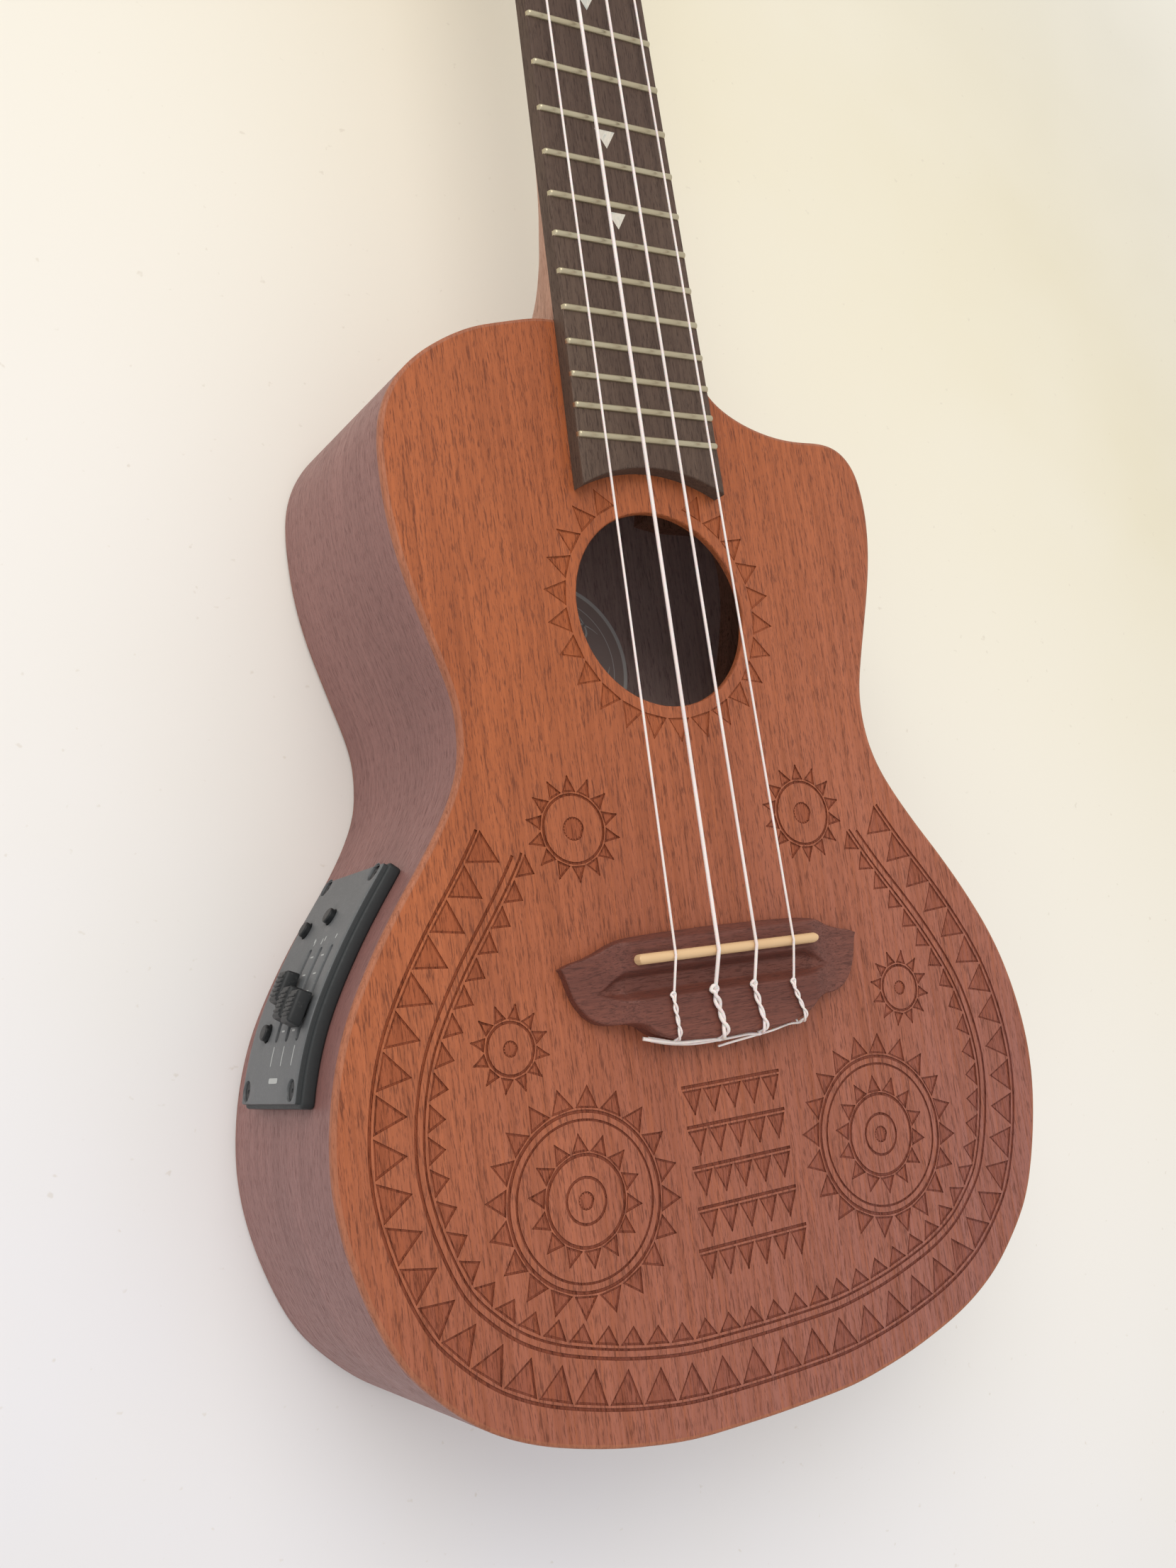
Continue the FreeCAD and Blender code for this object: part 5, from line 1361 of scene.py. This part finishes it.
def line_fill(a, b, step):
    L = math.hypot(b[0] - a[0], b[1] - a[1])
    n = max(1, int(L / step))
    return [(a[0] + (b[0] - a[0]) * k / n, a[1] + (b[1] - a[1]) * k / n) for k in range(1, n)]


def stadium(x0, x1, y, h, n=7):
    P = [(x0 + h + h * math.cos(math.radians(90 + 180 * k / n)), y + h * math.sin(math.radians(90 + 180 * k / n))) for k in range(n + 1)]
    P += line_fill(P[-1], (x1 - h, y - h), 1.2)
    Q = [(x1 - h + h * math.cos(math.radians(-90 + 180 * k / n)), y + h * math.sin(math.radians(-90 + 180 * k / n))) for k in range(n + 1)]
    P += Q
    return P + line_fill(Q[-1], P[0], 1.2)


SCREW_TZ = [(t, z) for t in (PRE_T0 + 3.9, PRE_T1 - 3.1) for z in (PRE_Z0 + 3.8, PRE_Z1 - 4.6)]
BUTTONS = [("mute", 211.2, 38.8), ("tuner", 208.9, 25.2), ("phase", 182.3, 28.6)]
F = PRE_PROUD
holes = [stadium(SLOT0, SLOT1, z, 0.95) for z in SLOT_Z]
hp = [[(0, 0.05), (0, F - 0.2), (0.06, F - 0.06), (0.2, F)]] * 3
for t, z in SCREW_TZ:
    holes.append(circle((t, z), 2.4))
    hp.append([(-1.1, 0.05), (-1.1, 3.0), (0, 3.0), (0, F - 0.22), (0.07, F - 0.06), (0.22, F)])
for _, t, z in BUTTONS:
    holes.append(circle((t, z), 2.2))
    hp.append([(0, 0.05), (0, F - 0.2), (0.06, F - 0.06), (0.2, F)])
outer = round_rect(PRE_T0 + 0.02, PRE_T1 - 0.02, PRE_Z0 + 0.02, PRE_Z1 - 0.02, 1.3, 1.0)
prof = [(0.35, 0.05), (0.08, 0.3), (0.0, 0.6), (0.0, 2.75), (0.1, 3.05), (0.32, 3.22), (0.75, 3.28), (0.86, 3.36), (0.9, 3.55),
        (0.92, 4.1), (1.0, 4.36), (1.16, 4.53), (1.42, F)]


def far_from_holes(t, z):
    for a in SLOT_Z:
        if SLOT0 - 0.9 < t < SLOT1 + 0.9 and abs(z - a) < 1.7:
            return False
    return all(math.hypot(t - a, z - b) > 3.1 for a, b in SCREW_TZ + [(b, c) for _, b, c in BUTTONS])


grid = [(t, z) for t in np.arange(PRE_T0 + 3.0, PRE_T1 - 2.5, 1.9) for z in np.arange(PRE_Z0 + 3.0, PRE_Z1 - 2.5, 3.7) if far_from_holes(t, z)]
v, f, i = plate(outer, holes, prof, hp, fn=on_side, extra=grid, rim_idx=1, flat_idx=0, rim_range=(0, 10))
v, f, i = flipped(v, f, i)
new_piece("preamp_plate", v, f, [M["plate"], M["plate_side"]], "root", idx=i, replaces=("preamp_faceplate",), angle=34)
# pale marks: the strips in line with the slots, at both ends, are painted glints of the slot edges; the other ticks are
# print; and a small pale window
soup = Soup()
marks = [(174.6, 179.0, z, 0.22) for z in SLOT_Z] + [(204.4, 205.6, z, 0.24) for z in SLOT_Z] + \
    [(203.6, 205.2, 41.4, 0.2), (203.6, 205.2, 36.6, 0.2)]
for z in (39.45, 46.4):
    marks += [(t - 0.2, t + 0.2, z, 0.95) for t in (182.4, 187.0, 191.4, 195.8, 200.4)]
for a, b, z, h in marks:
    P = round_rect(a, b, z - h, z + h, min(h * 0.9, 0.16), 1.0, 3)
    v, f, i = plate(P, [], [(0, F + 0.005), (0.02, F + 0.03)], fn=on_side)
    soup.add(*flipped(v, f, None)[:2])
P = round_rect(170.8, 172.0, 36.8, 42.6, 0.4, 1.0, 4)
v, f, i = plate(P, [], [(0, F + 0.005), (0.0, F + 0.06), (0.06, F + 0.1)], fn=on_side)
soup.add(*flipped(v, f, None)[:2])
new_piece("preamp_marks", soup.v, soup.f, M["print"], "root", angle=30)
soft_copy("preamp_screws", "preamp_fixing_screws", 0.14, M["case"], segs=2, angle=40)
W0 = 0.1230 + PRE_PROUD


def on_chord(u, z, w):
    q = pre_c + sT * u + sN * w
    return (q[0], q[1], z)


for name, z, t in (("volume", SLOT_Z[0], 186.3), ("bass", SLOT_Z[1], 187.6), ("treble", SLOT_Z[2], 192.0)):
    u = u_of(t)
    soup = Soup()
    v, f, i = plate(round_rect(u - 4.2, u + 4.2, z - 2.85, z + 2.85, 0.75, 1.5, 5), [],
                    [(0.3, W0 + 0.5), (0.05, W0 + 0.62), (0.0, W0 + 0.9), (0.2, W0 + 3.1), (0.34, W0 + 3.6), (0.62, W0 + 3.88), (1.05, W0 + 4.0)],
                    fn=on_chord)
    soup.add(*flipped(v, f, None)[:2])
    for k in (-2.3, -1.15, 0.0, 1.15, 2.3):
        v, f, i = plate(round_rect(u + k - 0.34, u + k + 0.34, z - 2.0, z + 2.0, 0.3, 1.5, 3), [],
                        [(0, W0 + 3.75), (0, W0 + 4.1), (0.1, W0 + 4.24), (0.22, W0 + 4.3)], fn=on_chord)
        soup.add(*flipped(v, f, None)[:2])
    v, f, i = plate(round_rect(u - 1.4, u + 1.4, z - 0.6, z + 0.6, 0.2, 1.0, 3), [], [(0, -9.5), (0, W0 + 0.6)], fn=on_chord)
    soup.add(*flipped(v, f, None)[:2])
    new_piece("slider_%s_cap" % name, soup.v, soup.f, M["cap"], "slider_body_" + name,
              replaces=("slider_" + name,), angle=36)
for name, t, z in BUTTONS:
    soft_copy("button_" + name, "button_%s_soft" % name, 0.12, M["cap"], segs=2, angle=50)

# ------------------------------------------------------------------ label, jack and what is inside the body
LX, LY = 4.0, 91.0
v, f, i = plate(circle((LX, LY), 26.95, 96), [], [(0, 2.0), (0, 2.14), (0.1, 2.2)])
new_piece("label_disc", v, f, M["paper"], "root", replaces=("label",), angle=30)
soup = Soup()


def print_line(P, w, closed=False):
    P = np.array(P, float)
    if closed:
        A, B = inset(ccw(P), -w / 2), inset(ccw(P), w / 2)
        v_ = [(a[0], a[1], 2.22) for a in A] + [(b[0], b[1], 2.22) for b in B]
        n_ = len(A)
        soup.add(v_, [(k, (k + 1) % n_, n_ + (k + 1) % n_, n_ + k) for k in range(n_)])
    else:
        T = np.gradient(P, axis=0)
        T /= np.linalg.norm(T, axis=1)[:, None]
        Nn = np.stack([-T[:, 1], T[:, 0]], 1)
        taper = np.sin(np.linspace(0.15, math.pi - 0.15, len(P)))[:, None]
        A, B = P + Nn * w / 2 * taper, P - Nn * w / 2 * taper
        v_ = [(a[0], a[1], 2.22) for a in A] + [(b[0], b[1], 2.22) for b in B]
        n_ = len(A)
        soup.add(v_, [(k, n_ + k, n_ + k + 1, k + 1) for k in range(n_ - 1)])


print_line(circle((LX, LY), 26.1, 120), 1.25, True)
print_line(circle((LX, LY), 22.0, 120), 0.25, True)
for k in range(12):
    a = 2 * math.pi * k / 12
    P = []
    for q in np.linspace(0, 1, 14):
        r = 12.0 + 8.5 * q
        b = a + 0.42 * math.sin(q * math.pi) * (1 if k % 2 else -1)
        P.append((LX + r * math.cos(b), LY + r * math.sin(b)))
    print_line(P, 0.75)
print_line(circle((LX, LY), 10.2, 80), 0.4, True)
new_piece("label_ornament", soup.v, soup.f, M["paper_line"], "root", angle=30)
soft_copy("output_jack", "output_jack_turned", 0.25, M["chrome"], segs=3, angle=40)
soft_copy("strap_button_nut", "strap_button_turned", 0.3, M["chrome"], segs=3, angle=40)
for node, mat in (("tail_block", "inner_wood"), ("neck_block", "inner_wood"), ("linings_top", "inner_wood"), ("linings_back", "inner_wood"),
                  ("soundboard_braces", "spruce"), ("back_braces", "spruce"), ("bridge_plate", "inner_wood"), ("pickup_strip", "strip"),
                  ("preamp_housing", "case"), ("preamp_circuit_board", "board"), ("battery", "battery"), ("battery_clip", "case"),
                  ("battery_lead", "lead"), ("jack_lead", "lead"), ("pickup_lead", "lead")):
    dress(node, M[mat])

# ------------------------------------------------------------------ floor and light
bpy.ops.mesh.primitive_plane_add(size=6.0, location=(0, 0, 0))
floor = bpy.context.object
floor.name = "floor"
n = Nodes("floor_paper")
c = n.node("ShaderNodeTexCoord")
sep = n.node("ShaderNodeSeparateXYZ")
n.link(c.outputs["Object"], sep.inputs[0])
t = n.math("ADD", n.math("MULTIPLY", sep.outputs[0], 1.1), n.math("MULTIPLY", sep.outputs[1], 1.5))
rr = n.math("SQRT", n.math("ADD", n.math("MULTIPLY", sep.outputs[0], sep.outputs[0]), n.math("MULTIPLY", sep.outputs[1], sep.outputs[1])))
# painted light: the paper goes from a bluish white at the lower left to a warmer, darker tone at the upper right,
# standing in for the cool window light and the falloff of light
painted_light_floor = n.mix(n.grey(t, -0.30, 0.55), lin(236, 235, 239), lin(218, 211, 190))


def painted_light_patch(a, b, c, d, e, f):
    """Painted light and shade on the paper round the object: a smooth change of tone that lightens and darkens it where
    the light falls off and where soft shadow lies.
    """
    x, y = sep.outputs[0], sep.outputs[1]
    s = n.math("ADD", n.math("MULTIPLY", x, b), a)
    s = n.math("ADD", s, n.math("MULTIPLY", y, c))
    s = n.math("ADD", s, n.math("MULTIPLY", n.math("MULTIPLY", x, x), d))
    s = n.math("ADD", s, n.math("MULTIPLY", n.math("MULTIPLY", x, y), e))
    s = n.math("ADD", s, n.math("MULTIPLY", n.math("MULTIPLY", y, y), f))
    return n.grey(s, 0.84, 1.12, 0.84, 1.12)


# painted light and shade laid over the paper round the instrument
tone = painted_light_patch(1.05, 0.37, 0.45, -1.5, -0.9, -1.4)
patch = n.node("ShaderNodeCombineColor")
for k in range(3):
    n.link(tone, patch.inputs[k])
painted_light_floor = n.mix(1.0, painted_light_floor, patch.outputs[0], "MULTIPLY")
col = n.mix(n.grey(rr, 0.38, 0.75), painted_light_floor, lin(232, 231, 227))
fleck = n.noise(n.coords(scale=(260, 260, 260)), detail=2, rough=0.6)
soft = n.noise(n.coords(scale=(9, 9, 9)), detail=3)
col = n.mix(n.grey(fleck, 0.70, 0.76, 0, 0.35), col, lin(196, 186, 170))
col = n.mix(n.grey(soft, 0.35, 0.7, 0, 0.3), col, lin(228, 224, 214))
n.finish(color=col, rough=0.9, spec=0.1)
floor.data.materials.append(n.mat)
floor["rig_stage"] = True


def area_light(name, loc, target, size, power, colour=(1, 1, 1)):
    L = bpy.data.lights.new(name, "AREA")
    L.shape = "DISK"
    L.size = size
    L.energy = power
    L.color = colour
    o = bpy.data.objects.new(name, L)
    scene.collection.objects.link(o)
    o.location = loc
    o.rotation_euler = (Vector(target) - Vector(loc)).to_track_quat("-Z", "Y").to_euler()
    o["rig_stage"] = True
    return o


area_light("key", (-0.55, 1.10, 1.40), (0, 0.05, 0.05), 1.5, 15.5, (1.0, 0.97, 0.91))
area_light("window", (-1.3, -0.5, 1.0), (0, -0.02, 0.05), 1.2, 1.8, (0.90, 0.94, 1.0))
w = bpy.data.worlds.new("room")
w.use_nodes = True
w.node_tree.nodes["Background"].inputs[0].default_value = (1.0, 0.99, 0.975, 1)
w.node_tree.nodes["Background"].inputs[1].default_value = 0.88
scene.world = w

lo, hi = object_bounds()
